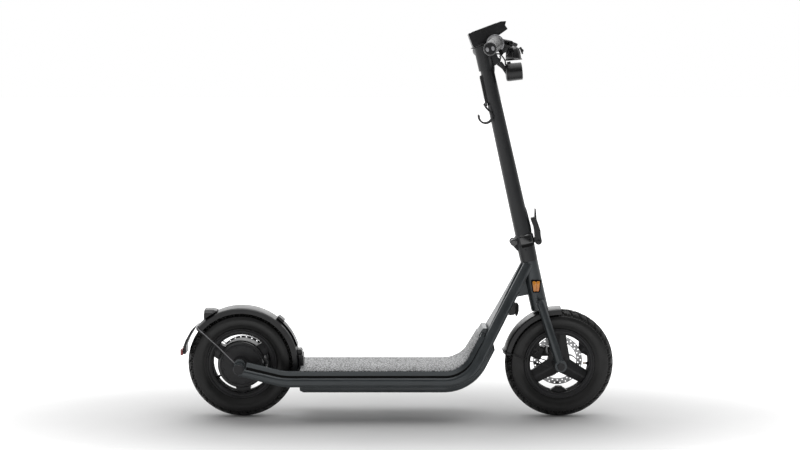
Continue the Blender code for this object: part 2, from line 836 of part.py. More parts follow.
def charge_port():
    """Socket box that bridges the rising tubes and looks forward."""
    rings = []
    for s in (s_at_z(PORT_LOW.y), s_at_z(PORT_TOP.y)):
        half = inside_rails(s)
        rings.append(place_section(s, [(half, -0.008), (half, 0.001), (-half, 0.001), (-half, -0.008)],
                                   0.0, 1))
    body = loft("charge_port", rings, BLACK_PLASTIC)
    inner_low, _ = rail_at(s_at_z(PORT_LOW.y) + 0.004)
    inner_top, _ = rail_at(s_at_z(PORT_TOP.y) - 0.004)
    outline = [(inner_low.x, inner_low.y), (PORT_LOW.x - 0.0135, PORT_LOW.y - 0.0020),
               (PORT_LOW.x - 0.003, PORT_LOW.y), (PORT_LOW.x, PORT_LOW.y + 0.003),
               (PORT_TOP.x, PORT_TOP.y - 0.002), (PORT_TOP.x - 0.003, PORT_TOP.y + 0.003),
               (PORT_TOP.x - 0.020, PORT_TOP.y + 0.003), (inner_top.x, inner_top.y)]
    join(body, bevel(plate("port_box", outline, -PORT_HALF_W, PORT_HALF_W, BLACK_PLASTIC), 0.0010))
    middle = (PORT_LOW + PORT_TOP) / 2
    socket = rod("socket_bore", 0.0085, 0.0, 0.03, None,
                 aim((middle.x - 0.012, 0, middle.y), (middle.x, 0, middle.y)), sides=20)
    return cut(body, socket)


def charge_port_cap():
    """Thick rubber lid over the socket, hinged at its upper edge, with a finger tab below."""
    low, top = PORT_LOW, PORT_TOP
    clear = 0.0004
    outline = [(top.x + clear, top.y), (top.x + 0.0050, top.y - 0.0020), (top.x + 0.0080, top.y - 0.0065),
               (top.x + 0.0080, top.y - 0.0220), (low.x + 0.0080, low.y + 0.0020),
               (low.x + 0.0024, low.y - 0.0058), (low.x + 0.0010, low.y - 0.0040),
               (low.x + clear, low.y + 0.0010)]
    lid = bevel(plate("charge_port_cap", outline, -0.0115, 0.0115, RUBBER), 0.0012)
    hang(pivot("charge_port_hinge", (top.x + 0.0020, 0, top.y - 0.0010)), lid)
    return lid


# Wheels

def tyre(name, frame):
    w, wall = TYRE_HALF_W, TYRE_WALL
    bead = RIM_HALF_W - 0.0047
    outer = [(SEAT_R + GAP, bead), (BEAD_R, bead), (BEAD_R + 0.008, RIM_HALF_W + 0.0015),
             (BEAD_R + 0.027, w), (TYRE_R - 0.018, w - 0.0035), (TYRE_R - 0.009, w - 0.010),
             (TYRE_R, w - 0.025)]
    inner = [(SEAT_R + GAP, bead - 0.007), (BEAD_R + 0.020, w - wall), (TYRE_R - 0.020, w - wall - 0.003),
             (TYRE_R - 0.010, w - wall - 0.016)]
    loop = [*outer, *[(r, -z) for r, z in reversed(outer)], *[(r, -z) for r, z in inner], *reversed(inner)]
    return turned(name, loop, TYRE_RUBBER, frame, steps=40, closed=True)


def rim_ring(name, frame):
    half = RIM_HALF_W
    side = [(RIM_INNER_R + 0.002, half), (BEAD_R, half + 0.0003), (BEAD_R, half - 0.004),
            (SEAT_R, half - 0.0045)]
    loop = [*side, *[(r, -z) for r, z in reversed(side)], (RIM_INNER_R, -half + 0.004),
            (RIM_INNER_R, half - 0.004)]
    return turned(name, loop, CAST_BLACK, frame, steps=40, closed=True)


def spoke_outline(angle, inner_r, inner_half, outer_r, outer_half):
    made = []
    for radius, across in ((inner_r, -inner_half), (outer_r, -outer_half), (outer_r, outer_half),
                           (inner_r, inner_half)):
        made.append((radius * cos(angle) - across * sin(angle), radius * sin(angle) + across * cos(angle)))
    return made


def add_spokes(wheel, name, place, spokes):
    for index, (angle, *sizes, half_t) in enumerate(spokes):
        outline = spoke_outline(radians(angle), *sizes)
        arm = plate(f"{name}_spoke_{index}", outline, -half_t, half_t, CAST_BLACK, place)
        join(wheel, bevel(arm, 0.003))
    return wheel


def front_rim():
    wheel = rim_ring("front_rim", FRONT_WHEEL)
    center = Matrix.Translation((FRONT_X, 0, AXLE_Z))
    spokes = [(a, 0.0, 0.0350, RIM_INNER_R + 0.003, 0.0190, SPOKE_HALF_T) for a in (88, 212, 330)]
    lumps = [(a, 0.072, 0.013, RIM_INNER_R + 0.003, 0.027, SPOKE_HALF_T) for a in (30, 150, 270)]
    add_spokes(wheel, "front", center, spokes + lumps)
    join(wheel, rod("front_hub", FRONT_HUB_R, -FRONT_HUB_HALF_W, FRONT_HUB_HALF_W, CAST_BLACK, FRONT_WHEEL))
    return cut(wheel, rod("front_hub_bore", AXLE_R + GAP, -0.06, 0.06, None, FRONT_WHEEL, sides=24))


def rear_rim():
    wheel = rim_ring("rear_rim", REAR_WHEEL)
    center = Matrix.Translation((REAR_X, 0, AXLE_Z))
    spokes = [(a, DRUM_R - 0.006, 0.020, RIM_INNER_R + 0.003, 0.009, SPOKE_HALF_T) for a in (35, 150, 270)]
    add_spokes(wheel, "rear", center, spokes)
    edge = DRUM_HALF_W - 0.006
    bore = REAR_AXLE_R + GAP
    room = CORE_R + PLAY
    deep = CORE_HALF_W + PLAY
    shell = turned("motor_shell", [(bore, DRUM_HALF_W), (DRUM_R - 0.008, DRUM_HALF_W), (DRUM_R, edge),
                                   (DRUM_R, -edge), (DRUM_R - 0.008, -DRUM_HALF_W), (bore, -DRUM_HALF_W),
                                   (bore, -deep), (room, -deep), (room, deep), (bore, deep)], CAST_BLACK,
                   REAR_WHEEL, steps=28, closed=True)
    return join(wheel, shell)


def rotor(name, frame, face, bore):
    """Drilled brake disc with a six-armed spider."""
    inner = ROTOR_R - ROTOR_BAND
    holes = [ring_points(bore, 16)]
    for i in range(6):
        first = 2 * pi * i / 6 + 0.22
        last = first + 2 * pi / 6 - 0.34
        holes.append([*arc((0, 0), inner, first, last, 6),
                      *reversed(arc((0, 0), bore + 0.007, first, last, 3))])
    for i in range(VENTS):
        around = 2 * pi * i / VENTS
        reach = ROTOR_R - ROTOR_BAND * (0.30 if i % 2 else 0.66)
        holes.append(ring_points(VENT_R, 6, (reach * cos(around), reach * sin(around))))
    center = frame @ ACROSS.inverted()
    return plate(name, ring_points(ROTOR_R, 36), face, face + ROTOR_T, STEEL, center, holes)


def hub_motor_core():
    """Axle with the stator on it and a cap at each end."""
    seat = DROPOUT_FACE + GAP
    side = [(0.0, seat + CAP_T), (CAP_R - 0.002, seat + CAP_T), (CAP_R, seat + CAP_T - 0.002), (CAP_R, seat),
            (REAR_AXLE_R, seat), (REAR_AXLE_R, CORE_HALF_W), (CORE_R, CORE_HALF_W)]
    profile = [*side, *[(r, -z) for r, z in reversed(side)]]
    return turned("hub_motor_core", profile, CAST_BLACK, REAR_WHEEL, steps=24)


def front_axle():
    seat = LEG_Y + LEG_FOOT_HALF_T + GAP
    side = [(0.0, seat + 0.006), (0.0095, seat + 0.006), (0.0110, seat + 0.0045), (0.0110, seat),
            (AXLE_R, seat)]
    profile = [*side, *[(r, -z) for r, z in reversed(side)]]
    return turned("front_axle", profile, CAST_BLACK, FRONT_WHEEL, steps=24)


# Fork

def leg_points(side):
    return [(LEG_TOP_N, side * LEG_Y, LEG_TOP_S), (FORK_OFFSET, side * LEG_Y, 0.0)]


def fork():
    body = rod("fork", HEAD_R, CROWN_LOW, CROWN_TOP, FRAME_PAINT, STEER, sides=40)
    steerer = rod("steerer", STEERER_R, CROWN_TOP - 0.01, HEAD_TOP + 0.024, FRAME_PAINT, STEER, sides=24)
    beam = tube("crown_beam", [(LEG_TOP_N, -LEG_Y, LEG_TOP_S - 0.004), (LEG_TOP_N, LEG_Y, LEG_TOP_S - 0.004)],
                CROSS_R, FRAME_PAINT, STEER, sides=3)
    join(body, steerer, beam)
    for side in (-1, 1):
        start, end = [Vector(point) for point in leg_points(side)]
        top = start + (start - end).normalized() * 0.004
        crown = start + (start - end).normalized() * 0.011
        leg = tube(f"leg_{side}", [crown, top, end], [LEG_TOP_R * 0.72, LEG_TOP_R, LEG_END_R],
                   FRAME_PAINT, STEER, sides=3)
        foot = rod(f"foot_{side}", LEG_FOOT_R, -LEG_FOOT_HALF_T, LEG_FOOT_HALF_T, FRAME_PAINT,
                   cross(STEER, FORK_OFFSET, 0.0, side * LEG_Y))
        join(body, leg, foot)
    wheel_axle = rod("fork_bore", AXLE_R + GAP, -0.1, 0.1, None, FRONT_WHEEL, sides=24)
    return cut(body, wheel_axle)


def hinge_block():
    """Black block on top of the head tube, with the lug that holds the hinge pin."""
    body = turned("hinge_block", [(0.0, BLOCK_TOP), (BLOCK_R, BLOCK_TOP), (BLOCK_R - 0.0006, HEAD_TOP + GAP),
                                  (0.0, HEAD_TOP + GAP)], STEM_PAINT, STEER, steps=32)
    ear = arc((PIN_N, PIN_S), EAR_R, 0, pi, 9)
    lug = plate("hinge_lug", [*ear, (PIN_N - EAR_R, PIN_S - 0.004), (-BLOCK_R - 0.0015, BLOCK_TOP - 0.012),
                              (-BLOCK_R + 0.010, BLOCK_TOP - 0.012), (-BLOCK_R + 0.010, BLOCK_TOP - 0.002),
                              (PIN_N + EAR_R, BLOCK_TOP - 0.002)],
                -LUG_HALF_W, LUG_HALF_W, STEM_PAINT, STEER)
    join(body, lug)
    socket = rod("steerer_socket", STEERER_R + GAP, HEAD_TOP - 0.01, HEAD_TOP + 0.026, None, STEER, sides=24)
    pin = rod("lug_bore", PIN_R + GAP, -0.05, 0.05, None, cross(STEER, PIN_N, PIN_S), sides=16)
    return cut(body, socket, pin)


def hinge_pin():
    side = [(0.0, EAR_HALF_W + 0.0030), (0.0062, EAR_HALF_W + 0.0030), (0.0062, EAR_HALF_W + GAP),
            (PIN_R, EAR_HALF_W + GAP)]
    profile = [*side, *[(r, -z) for r, z in reversed(side)]]
    return turned("hinge_pin", profile, CAST_BLACK, cross(STEER, PIN_N, PIN_S), steps=16)


# Stem

def stem_r(s):
    return between(s, [(BLOCK_TOP, STEM_R_LOW), (HEAD_CAST_LOW, STEM_R_TOP), (STEM_TOP, STEM_R_TOP)])


def stem_tube():
    low = BLOCK_TOP + GAP
    profile = [(STEM_R_LOW, low), (STEM_R_LOW - STEM_WALL, low), (STEM_R_TOP - STEM_WALL, HEAD_CAST_LOW),
               (STEM_R_TOP - STEM_WALL, STEM_TOP), (STEM_R_TOP, STEM_TOP), (STEM_R_TOP, HEAD_CAST_LOW)]
    return turned("stem_tube", profile, STEM_PAINT, STEER, steps=36, closed=True)


def clamp_collar():
    low = BLOCK_TOP + GAP
    inner = STEM_R_LOW + GAP
    body = turned("clamp_collar", [(0.0, COLLAR_TOP), (COLLAR_R - 0.003, COLLAR_TOP),
                                   (COLLAR_R, COLLAR_TOP - 0.003), (COLLAR_R, low + 0.001),
                                   (COLLAR_R - 0.001, low), (0.0, low)], STEM_PAINT, STEER, steps=28)
    around = [*arc((PIN_N, PIN_S), EAR_R, pi / 2, 3 * pi / 2, 9), (-0.012, PIN_S - EAR_R),
              (-0.012, PIN_S + EAR_R + 0.004)]
    for side in (-1, 1):
        low_y, high_y = sorted((side * (LUG_HALF_W + GAP), side * EAR_HALF_W))
        join(body, plate(f"collar_ear_{side}", around, low_y, high_y, STEM_PAINT, STEER))
    tongue = [*arc((LEVER_N, LEVER_S), LEVER_BOSS_R - 0.0020, -pi / 2, pi / 2, 7),
              (0.018, COLLAR_TOP - 0.010), (0.020, low + 0.0045)]
    join(body, plate("collar_tongue", tongue, -TONGUE_HALF_W, TONGUE_HALF_W, STEM_PAINT, STEER))
    bore = rod("collar_bore", inner, low - 0.01, COLLAR_TOP + 0.02, None, STEER, sides=26)
    slot = block("lug_slot", (-0.06, -LUG_HALF_W - GAP, 0.30), (-inner + 0.004, LUG_HALF_W + GAP,
                                                                PIN_S + EAR_R + PLAY), None, STEER)
    pin = rod("ear_bore", PIN_R + GAP, -0.05, 0.05, None, cross(STEER, PIN_N, PIN_S), sides=16)
    cut(body, bore, slot, pin)
    return join(body, lever_pin())


def lever_pin():
    """Cross pin of the quick-release lever, riveted through the collar's tongue."""
    side = [(0.0, LEVER_HALF_W + 0.0020), (0.0045, LEVER_HALF_W + 0.0020), (0.0045, LEVER_HALF_W + GAP),
            (LEVER_PIN_R, LEVER_HALF_W + GAP)]
    profile = [*side, *[(r, -z) for r, z in reversed(side)]]
    return turned("lever_pin", profile, STEM_PAINT, cross(STEER, LEVER_N, LEVER_S), steps=12)


def clamp_lever():
    """Quick-release lever with a thin finger tip, closed against the stem."""
    n, s = LEVER_N, LEVER_S
    outline = [*arc((n, s), LEVER_BOSS_R, -pi, 0, 11), (n + 0.0105, s + 0.0180), (n + 0.0125, s + 0.0300),
               (n + 0.0100, s + 0.0520), (n + 0.0085, s + 0.0640), (n + 0.0125, s + 0.0950),
               (n + 0.0100, s + 0.0955), (n + 0.0040, s + 0.0720), (n - 0.0070, s + 0.0720),
               (n - 0.0080, s + 0.0650), (n - 0.0050, s + 0.0450), (n - 0.0060, s + 0.0300)]
    lever = plate("clamp_lever", outline, -LEVER_HALF_W, LEVER_HALF_W, BLACK_PLASTIC, STEER)
    bevel(lever, 0.0012)
    slot = block("lever_slot", (n - 0.03, -TONGUE_HALF_W - GAP, s - 0.03),
                 (n + 0.03, TONGUE_HALF_W + GAP, s + LEVER_BOSS_R + 0.0035), None, STEER)
    bore = rod("lever_bore", LEVER_PIN_R + GAP, -0.05, 0.05, None, cross(STEER, n, s), sides=12)
    cut(lever, slot, bore)
    axis = STEER @ Vector((n, 0, s))
    hang(pivot("clamp_lever_axis", axis), lever)
    return lever


def stem_head():
    """Casting on top of the stem, with the bar clamp and the cable guide."""
    inner = STEM_R_TOP + GAP
    body = turned("stem_head", [(0.0, HEAD_CAST_TOP), (SLEEVE_R + 0.0005, HEAD_CAST_TOP),
                                (SLEEVE_R, HEAD_CAST_LOW), (inner, HEAD_CAST_LOW),
                                (inner, STEM_TOP + GAP), (0.0, STEM_TOP + GAP)], STEM_PAINT, STEER,
                  steps=32)
    neck = [(0.0, 0.918), (0.022, 0.918), (BAR_N + 0.012, BAR_S - 0.017), (BAR_N, BAR_S),
            (0.010, HEAD_CAST_TOP)]
    guide = [(0.0215, 0.889), (0.042, 0.897), (0.045, 0.903), (0.038, 0.912), (0.034, 0.938), (0.0215, 0.940)]
    join(body, plate("clamp_neck", neck, -0.021, 0.021, STEM_PAINT, STEER),
         rod("bar_clamp", CLAMP_R, -CLAMP_HALF_W, CLAMP_HALF_W, STEM_PAINT, cross(STEER, BAR_N, BAR_S)),
         plate("cable_guide", guide, -0.011, 0.011, STEM_PAINT, STEER))
    bore = rod("bar_bore", BAR_R + GAP, -0.06, 0.06, None, cross(STEER, BAR_N, BAR_S))
    return cut(body, bore)


def display_housing():
    """Wedge-shaped housing that sits on the casting and arches over the bar clamp."""
    low = HEAD_CAST_TOP + GAP
    arch = arc((BAR_N, BAR_S), CLAMP_R + GAP + 0.0002, radians(48), radians(166), 12)
    outline = [(-0.0275, low), (-0.0275, 0.9600), (-0.0320, 0.9940), (-0.0300, 0.9964), (0.0635, 1.0092),
               (0.0670, 1.0094), (0.0800, 1.0072), (0.0811, 1.0058), (0.0760, 0.9964), (0.0808, 0.9851),
               (0.0800, 0.9836), (0.0762, 0.9819), *arch, (0.0100, low)]
    shell = plate("display_housing", outline, -DISPLAY_HALF_W, DISPLAY_HALF_W, BLACK_PLASTIC, STEER)
    return bevel(shell, 0.0008)


def bar_line(y):
    """Handlebar centre as (n, s) at the distance y to either side."""
    grip_slope_n = (GRIP_OUT_N - GRIP_IN_N) / (GRIP_OUT_Y - GRIP_IN_Y)
    grip_slope_s = (GRIP_OUT_S - GRIP_IN_S) / (GRIP_OUT_Y - GRIP_IN_Y)
    if y >= GRIP_IN_Y - 0.03:
        return GRIP_IN_N + grip_slope_n * (y - GRIP_IN_Y), GRIP_IN_S + grip_slope_s * (y - GRIP_IN_Y)
    if y <= BAR_BEND_Y:
        return BAR_N, BAR_S
    t = (y - BAR_BEND_Y) / (GRIP_IN_Y - 0.03 - BAR_BEND_Y)
    end_n, end_s = bar_line(GRIP_IN_Y - 0.03)
    n = BAR_N + (end_n - BAR_N) * t * t * (1.6 - 0.6 * t)
    return n, BAR_S + (end_s - BAR_S) * t * t * (1.6 - 0.6 * t)


def bar_shape(name, extra, paint):
    """Handlebar, grown all round by the extra."""
    stops = [0.0, BAR_BEND_Y, 0.095, 0.115, 0.135, 0.150, 0.162, GRIP_OUT_Y - 0.004]
    places = [(-y, *bar_line(y)) for y in reversed(stops)] + [(y, *bar_line(y)) for y in stops[1:]]
    radii = [bar_r(abs(y)) + extra for y, _, _ in places]
    return tube(name, [(n, y, s) for y, n, s in places], radii, paint, STEER, sides=4)


def bar_r(y):
    return between(y, [(BAR_BEND_Y, BAR_R), (BAR_TAPER_Y, BAR_END_R), (1.0, BAR_END_R)])


def handlebar():
    return bar_shape("handlebar", 0.0, STEM_PAINT)


def bar_frame(y, side):
    """Frame on the bar's centre line, Z outward along the bar."""
    n0, s0 = bar_line(y)
    n1, s1 = bar_line(y + 0.01)
    return STEER @ aim((n0, side * y, s0), (n1, side * (y + 0.01), s1))


def grip(name, side):
    length = hypot(GRIP_OUT_Y - GRIP_IN_Y, GRIP_OUT_N - GRIP_IN_N)
    inner = BAR_END_R + GAP
    profile = [(0.0, length), (GRIP_R - 0.003, length), (GRIP_R, length - 0.003), (GRIP_R, 0.006),
               (GRIP_FLANGE_R, 0.005), (GRIP_FLANGE_R, 0.0), (inner, 0.0), (inner, length - 0.0036),
               (0.0, length - 0.0036)]
    return turned(name, profile, RUBBER, bar_frame(GRIP_IN_Y, side), steps=24)


def brake_frame():
    """Frame on the bar at the perches, X out towards the lever."""
    n, s = bar_line(PERCH_Y)
    tilt = Matrix.Rotation(BRAKE_TILT, 4, 'Y')
    return STEER @ Matrix.Translation((n, 0, s)) @ tilt @ Matrix.Translation((0, 0, BRAKE_RISE))


def brake_perch(name, side):
    """Clamp on the bar with the clevis of the brake lever."""
    ring = rod(name, 0.0165, -0.009, 0.009, BLACK_PLASTIC, bar_frame(PERCH_Y, side))
    near, far = sorted((side * PERCH_IN_Y, side * PERCH_OUT_Y))
    arm = block(name + "_arm", (0.008, near, -PERCH_HALF_H), (PERCH_REACH, far, PERCH_HALF_H),
                BLACK_PLASTIC, brake_frame())
    join(ring, bevel(arm, 0.003))
    slot = block(name + "_slot", (0.018, near - 0.01, -BRAKE_HALF_H - GAP),
                 (PERCH_REACH + 0.02, far + 0.01, BRAKE_HALF_H + GAP), None, brake_frame())
    return cut(ring, slot, bar_shape(name + "_bore", GAP, None))


def brake_lever(name, side):
    """Two-finger lever, swept outward ahead of the grip."""
    x, y = BRAKE_REACH, BRAKE_PIVOT_Y
    outline = [(x - 0.007, 0.141), (x + 0.004, 0.139), (x + 0.011, 0.146), (x + 0.018, 0.165),
               (x + 0.020, 0.190), (x + 0.016, 0.215), (x + 0.007, 0.245), (x + 0.0005, 0.270),
               (x + 0.0005, 0.284), (x - 0.005, 0.289), (x - 0.0095, 0.282), (x - 0.0075, 0.262),
               (x - 0.0005, 0.236), (x + 0.008, 0.208), (x + 0.0105, 0.190), (x + 0.008, 0.173),
               (x - 0.004, 0.158)]
    lay = Matrix(((1, 0, 0, 0), (0, 0, side, 0), (0, 1, 0, 0), (0, 0, 0, 1)))
    lever = plate(name, outline, -BRAKE_HALF_H, BRAKE_HALF_H, CAST_BLACK, brake_frame() @ lay)
    flip_if_left(lever, side)
    bevel(lever, 0.0012)
    axis = brake_frame() @ Matrix.Translation((x, side * y, 0))
    cut(lever, rod(name + "_bore", 0.0022, -0.02, 0.02, None, axis, sides=12))
    hang(pivot(name + "_axis", axis.translation), lever)
    return lever


def throttle():
    """Thumb paddle under the bar, beside the right grip."""
    y = -0.1845
    n, s = bar_line(-y)
    frame = bar_frame(-y, -1)
    ring = rod("throttle", 0.0165, -0.0045, 0.0045, BLACK_PLASTIC, frame)
    paddle = plate("throttle_paddle", [(0.006, -0.010), (0.012, -0.014), (0.016, -0.030), (0.012, -0.036),
                                       (0.006, -0.034), (0.002, -0.016)], y - 0.0042, y + 0.0042,
                   BLACK_PLASTIC, STEER @ Matrix.Translation((n, 0, s)))
    join(ring, bevel(paddle, 0.0012))
    cut(ring, bar_shape("throttle_bore", TURN_GAP, None))
    hang(pivot("throttle_axis", STEER @ Vector((n, y, s))), ring)
    return ring


def bell():
    """Bell dome, mouth down, on an arm from the bar."""
    wall = 0.0016
    top = BELL_S + BELL_H
    frame = STEER @ Matrix.Translation((BELL_N, BELL_Y, BELL_S)) @ Matrix.Rotation(BELL_TILT, 4, 'Y')
    high = BELL_H
    profile = [(0.0, high - wall), (0.0085, high - wall), (0.0155, high - 0.007 - wall),
               (BELL_R - 0.002 - wall, high - 0.021), (BELL_R - 0.001, 0.0), (BELL_R + 0.0015, 0.0),
               (BELL_R - 0.001, 0.003), (BELL_R - 0.002, high - 0.020), (0.0165, high - 0.006), (0.009, high),
               (0.0, high)][::-1]
    dome = turned("bell", profile, BLACK_PLASTIC, frame, steps=20)
    n, s = bar_line(-BELL_Y)
    strap = plate("bell_strap", [(n, s - 0.004), (BELL_N + 0.004, s - 0.010), (BELL_N + 0.004, top - 0.002),
                                 (BELL_N - 0.006, top - 0.003), (n, s - 0.012)],
                  BELL_Y - 0.006, BELL_Y + 0.006, BLACK_PLASTIC, STEER)
    band = rod("bell_band", bar_r(-BELL_Y) + 0.0045, -0.006, 0.006, BLACK_PLASTIC, bar_frame(-BELL_Y, -1))
    seat = STRIKER_N - 0.0015 - GAP
    stub = plate("striker_stub", [(BELL_N + 0.012, STRIKER_S - 0.0038), (seat, STRIKER_S - 0.0035),
                                  (seat, STRIKER_S - 0.0005), (BELL_N + 0.012, STRIKER_S)],
                 BELL_Y - 0.003, BELL_Y + 0.003, BLACK_PLASTIC, STEER)
    join(dome, strap, band, stub)
    return cut(dome, bar_shape("bell_bore", GAP, None))


def bell_striker():
    """Sprung thumb lever in front of the bell."""
    n, s = STRIKER_N, STRIKER_S
    outline = [(n + 0.0012, s - 0.0200), (n + 0.0050, s - 0.0195), (n + 0.0045, s - 0.0020),
               (n + 0.0020, s + 0.0015), (n - 0.0015, s), (n - 0.0015, s - 0.0040)]
    lever = bevel(plate("bell_striker", outline, BELL_Y - 0.005, BELL_Y + 0.005, BLACK_PLASTIC, STEER),
                  0.0008)
    hang(pivot("bell_striker_axis", STEER @ Vector((n + 0.0005, BELL_Y, s - 0.0010))), lever)
    return lever


def lamp_frame():
    """Frame at the lamp's rear, Z along its beam."""
    return STEER @ Matrix.Translation((LAMP_REAR_N, 0, LAMP_REAR_S)) @ Matrix.Rotation(pi / 2 + LAMP_DROP,
                                                                                       4, 'Y')


def headlight_bracket():
    """Arm from the cable guide to the back of the lamp."""
    outline = [(0.0460, 0.8975), (0.0500, 0.8900), (0.0560, 0.8740), (0.0545, 0.8560), (0.0500, 0.8580),
               (0.0430, 0.8760), (0.0340, 0.8870), (0.0300, 0.8917), (0.0425, 0.8965)]
    return bevel(plate("headlight_bracket", outline, -0.006, 0.006, BLACK_PLASTIC, STEER), 0.0010)


def headlight_body():
    r = LAMP_R
    lip = 0.004
    profile = [(0.0, 0.010), (0.012, 0.012), (r - 0.004, LAMP_L - lip), (r - 0.002, LAMP_L - lip),
               (r - 0.002, LAMP_L), (r - 0.0005, LAMP_L - 0.001), (r, 0.006), (r - 0.004, 0.0),
               (0.010, -0.002), (0.0, -0.002)]
    body = turned("headlight_body", profile, BLACK_PLASTIC, lamp_frame(), steps=28)
    slot = plate("bracket_clearance", [(0.0255, 0.897), (0.050, 0.8905), (0.0563, 0.874), (0.0549, 0.8555),
                                       (0.040, 0.850)], -0.0063, 0.0063, None, STEER)
    return cut(body, slot)


def headlight_lens():
    r = LAMP_R - 0.002 - GAP
    low = LAMP_L - 0.004 + GAP
    profile = [(0.0, LAMP_L + 0.0012), (r * 0.6, LAMP_L + 0.0006), (r, LAMP_L - 0.0004), (r, low), (0.0, low)]
    return turned("headlight_lens", profile, CLEAR, lamp_frame(), steps=28)


def hook_mount():
    """Strip on the rider's side of the stem that carries the bag hook."""
    low_r, high_r = stem_r(HOOK_LOW), stem_r(HOOK_TOP)
    outline = [(-0.012, HOOK_LOW), (-low_r - 0.0045, HOOK_LOW), (-low_r - 0.0055, HOOK_LOW + 0.003),
               (-high_r - 0.0055, HOOK_TOP - 0.003), (-high_r - 0.0040, HOOK_TOP), (-0.012, HOOK_TOP)]
    strip = plate("hook_mount", outline, -0.008, 0.008, BLACK_PLASTIC, STEER)
    ears = plate("hook_ears", [*arc((HOOK_PIN_N, HOOK_PIN_S), 0.0048, pi / 2, 3 * pi / 2, 7),
                               (-low_r - 0.0012, HOOK_PIN_S - 0.0048), (-0.0215, HOOK_LOW + 0.002),
                               (-0.0240, HOOK_LOW + 0.006)], -0.008, 0.008, BLACK_PLASTIC, STEER)
    join(strip, ears)
    seat = rod("strip_seat", STEM_R_LOW + GAP, BLOCK_TOP + GAP, HEAD_CAST_LOW, None, STEER, sides=40,
               top=STEM_R_TOP + GAP)
    pin = rod("hook_bore", HOOK_WIRE_R + GAP, -0.02, 0.02, None, cross(STEER, HOOK_PIN_N, HOOK_PIN_S),
              sides=16)
    return cut(strip, seat, pin)


def bag_hook():
    """Wire bail with two J-shaped sides that straddle the stem."""
    half = HOOK_HALF_W
    curl = arc((HOOK_CURL_N, HOOK_CURL_S), HOOK_CURL_R, radians(20), radians(-195), 11)
    side = [(HOOK_PIN_N + 0.0015, HOOK_PIN_S - 0.0090), *curl]
    right = [(HOOK_PIN_N, 0.004 - half, HOOK_PIN_S), (HOOK_PIN_N, -half, HOOK_PIN_S - 0.003)]
    right += [(n, -half, s) for n, s in side]
    tip_n, tip_s = curl[-1]
    right += [(tip_n, 0.004 - half, tip_s + 0.003)]
    left = [(n, -y, s) for n, y, s in reversed(right)]
    hook = tube("bag_hook", [*right, *left], HOOK_WIRE_R, CAST_BLACK, STEER, sides=1)
    rail = rod("hook_pin", HOOK_WIRE_R * 0.95, 0.003 - half, half - 0.003, CAST_BLACK,
               cross(STEER, HOOK_PIN_N, HOOK_PIN_S), sides=12)
    join(hook, rail)
    hang(pivot("bag_hook_axis", STEER @ Vector((HOOK_PIN_N, 0, HOOK_PIN_S))), hook)
    return hook


def stem_cable():
    """Lead that leaves the casting and enters the tube below it."""
    r = 0.0020
    out = r + 0.0006
    around = radians(-42)
    points = []
    for radius, s in ((SLEEVE_R + out, HEAD_CAST_LOW + 0.004), (SLEEVE_R + out, HEAD_CAST_LOW - 0.002),
                      (stem_r(0.870) + out, 0.870), (stem_r(0.840) + out, 0.840)):
        points.append((radius * cos(around), radius * sin(around), s))
    return tube("stem_cable", points, r, RUBBER, STEER, sides=2)


def brake_cable():
    """Brake line from the right perch down to the cable guide."""
    route = curve_through([(0.0510, -0.1500, 0.9360), (0.0480, -0.1450, 0.9230),
                           (0.0385, -0.1180, 0.9150), (0.0400, -0.0800, 0.9120),
                           (0.0430, -0.0450, 0.9080), (0.0400, -0.0120, 0.9040)], 3)
    return tube("brake_cable", route, 0.0022, RUBBER, STEER, sides=2)


# Fenders

def fender_shell(name, frame, crown_r, first, last, steps):
    """Arched shell round the wheel, from the first to the last angle above +X."""
    half, drop, skirt = FENDER_HALF_W, FENDER_CROWN, FENDER_SKIRT
    shoulder = crown_r - drop
    outer = [(shoulder - skirt, half), (shoulder - 0.002, half), (shoulder + 0.0005, half - 0.004),
             (crown_r, half * 0.30)]
    edge = [*outer, *[(r, -z) for r, z in reversed(outer)]]
    mesh = bpy.data.meshes.new(name)
    mesh.from_pydata([(r, 0, z) for r, z in edge], [(i, i + 1) for i in range(len(edge) - 1)], [])
    turn = Matrix.Rotation(-last, 4, 'Z')
    obj = add(name, mesh, BLACK_PLASTIC, frame @ turn)
    step = obj.modifiers.new("turn", 'SCREW')
    step.axis = 'Z'
    step.angle = last - first
    step.steps = steps
    step.render_steps = steps
    step.use_merge_vertices = False
    skin = obj.modifiers.new("skin", 'SOLIDIFY')
    skin.thickness = FENDER_T
    skin.offset = -1.0
    return obj


def rear_fender():
    shell = fender_shell("rear_fender", REAR_WHEEL, REAR_FENDER_R, radians(-8), radians(142), 28)
    inner = REAR_FENDER_R - FENDER_T * 0.5
    deck = RAIL_Z + MAT_LOW + MAT_T + GAP
    center = (REAR_X, AXLE_Z)
    front = DECK_REAR_X + 0.0080
    foot = [*arc(center, inner, asin((deck - AXLE_Z) / inner), radians(9), 4),
            (REAR_X + REAR_FENDER_R - 0.004, deck + 0.0316), (front - 0.003, deck + 0.0316),
            (front, deck + 0.0286), (front, deck)]
    hump = [(front - 0.0190, deck + 0.0219), (front - 0.0190, deck + 0.0449), (front - 0.009, deck + 0.0464),
            (front - 0.0045, deck + 0.0419), (front - 0.003, deck + 0.0219)]
    return join(shell, plate("fender_foot", foot, -0.030, 0.030, BLACK_PLASTIC),
                plate("fender_hump", hump, -0.018, 0.018, BLACK_PLASTIC))


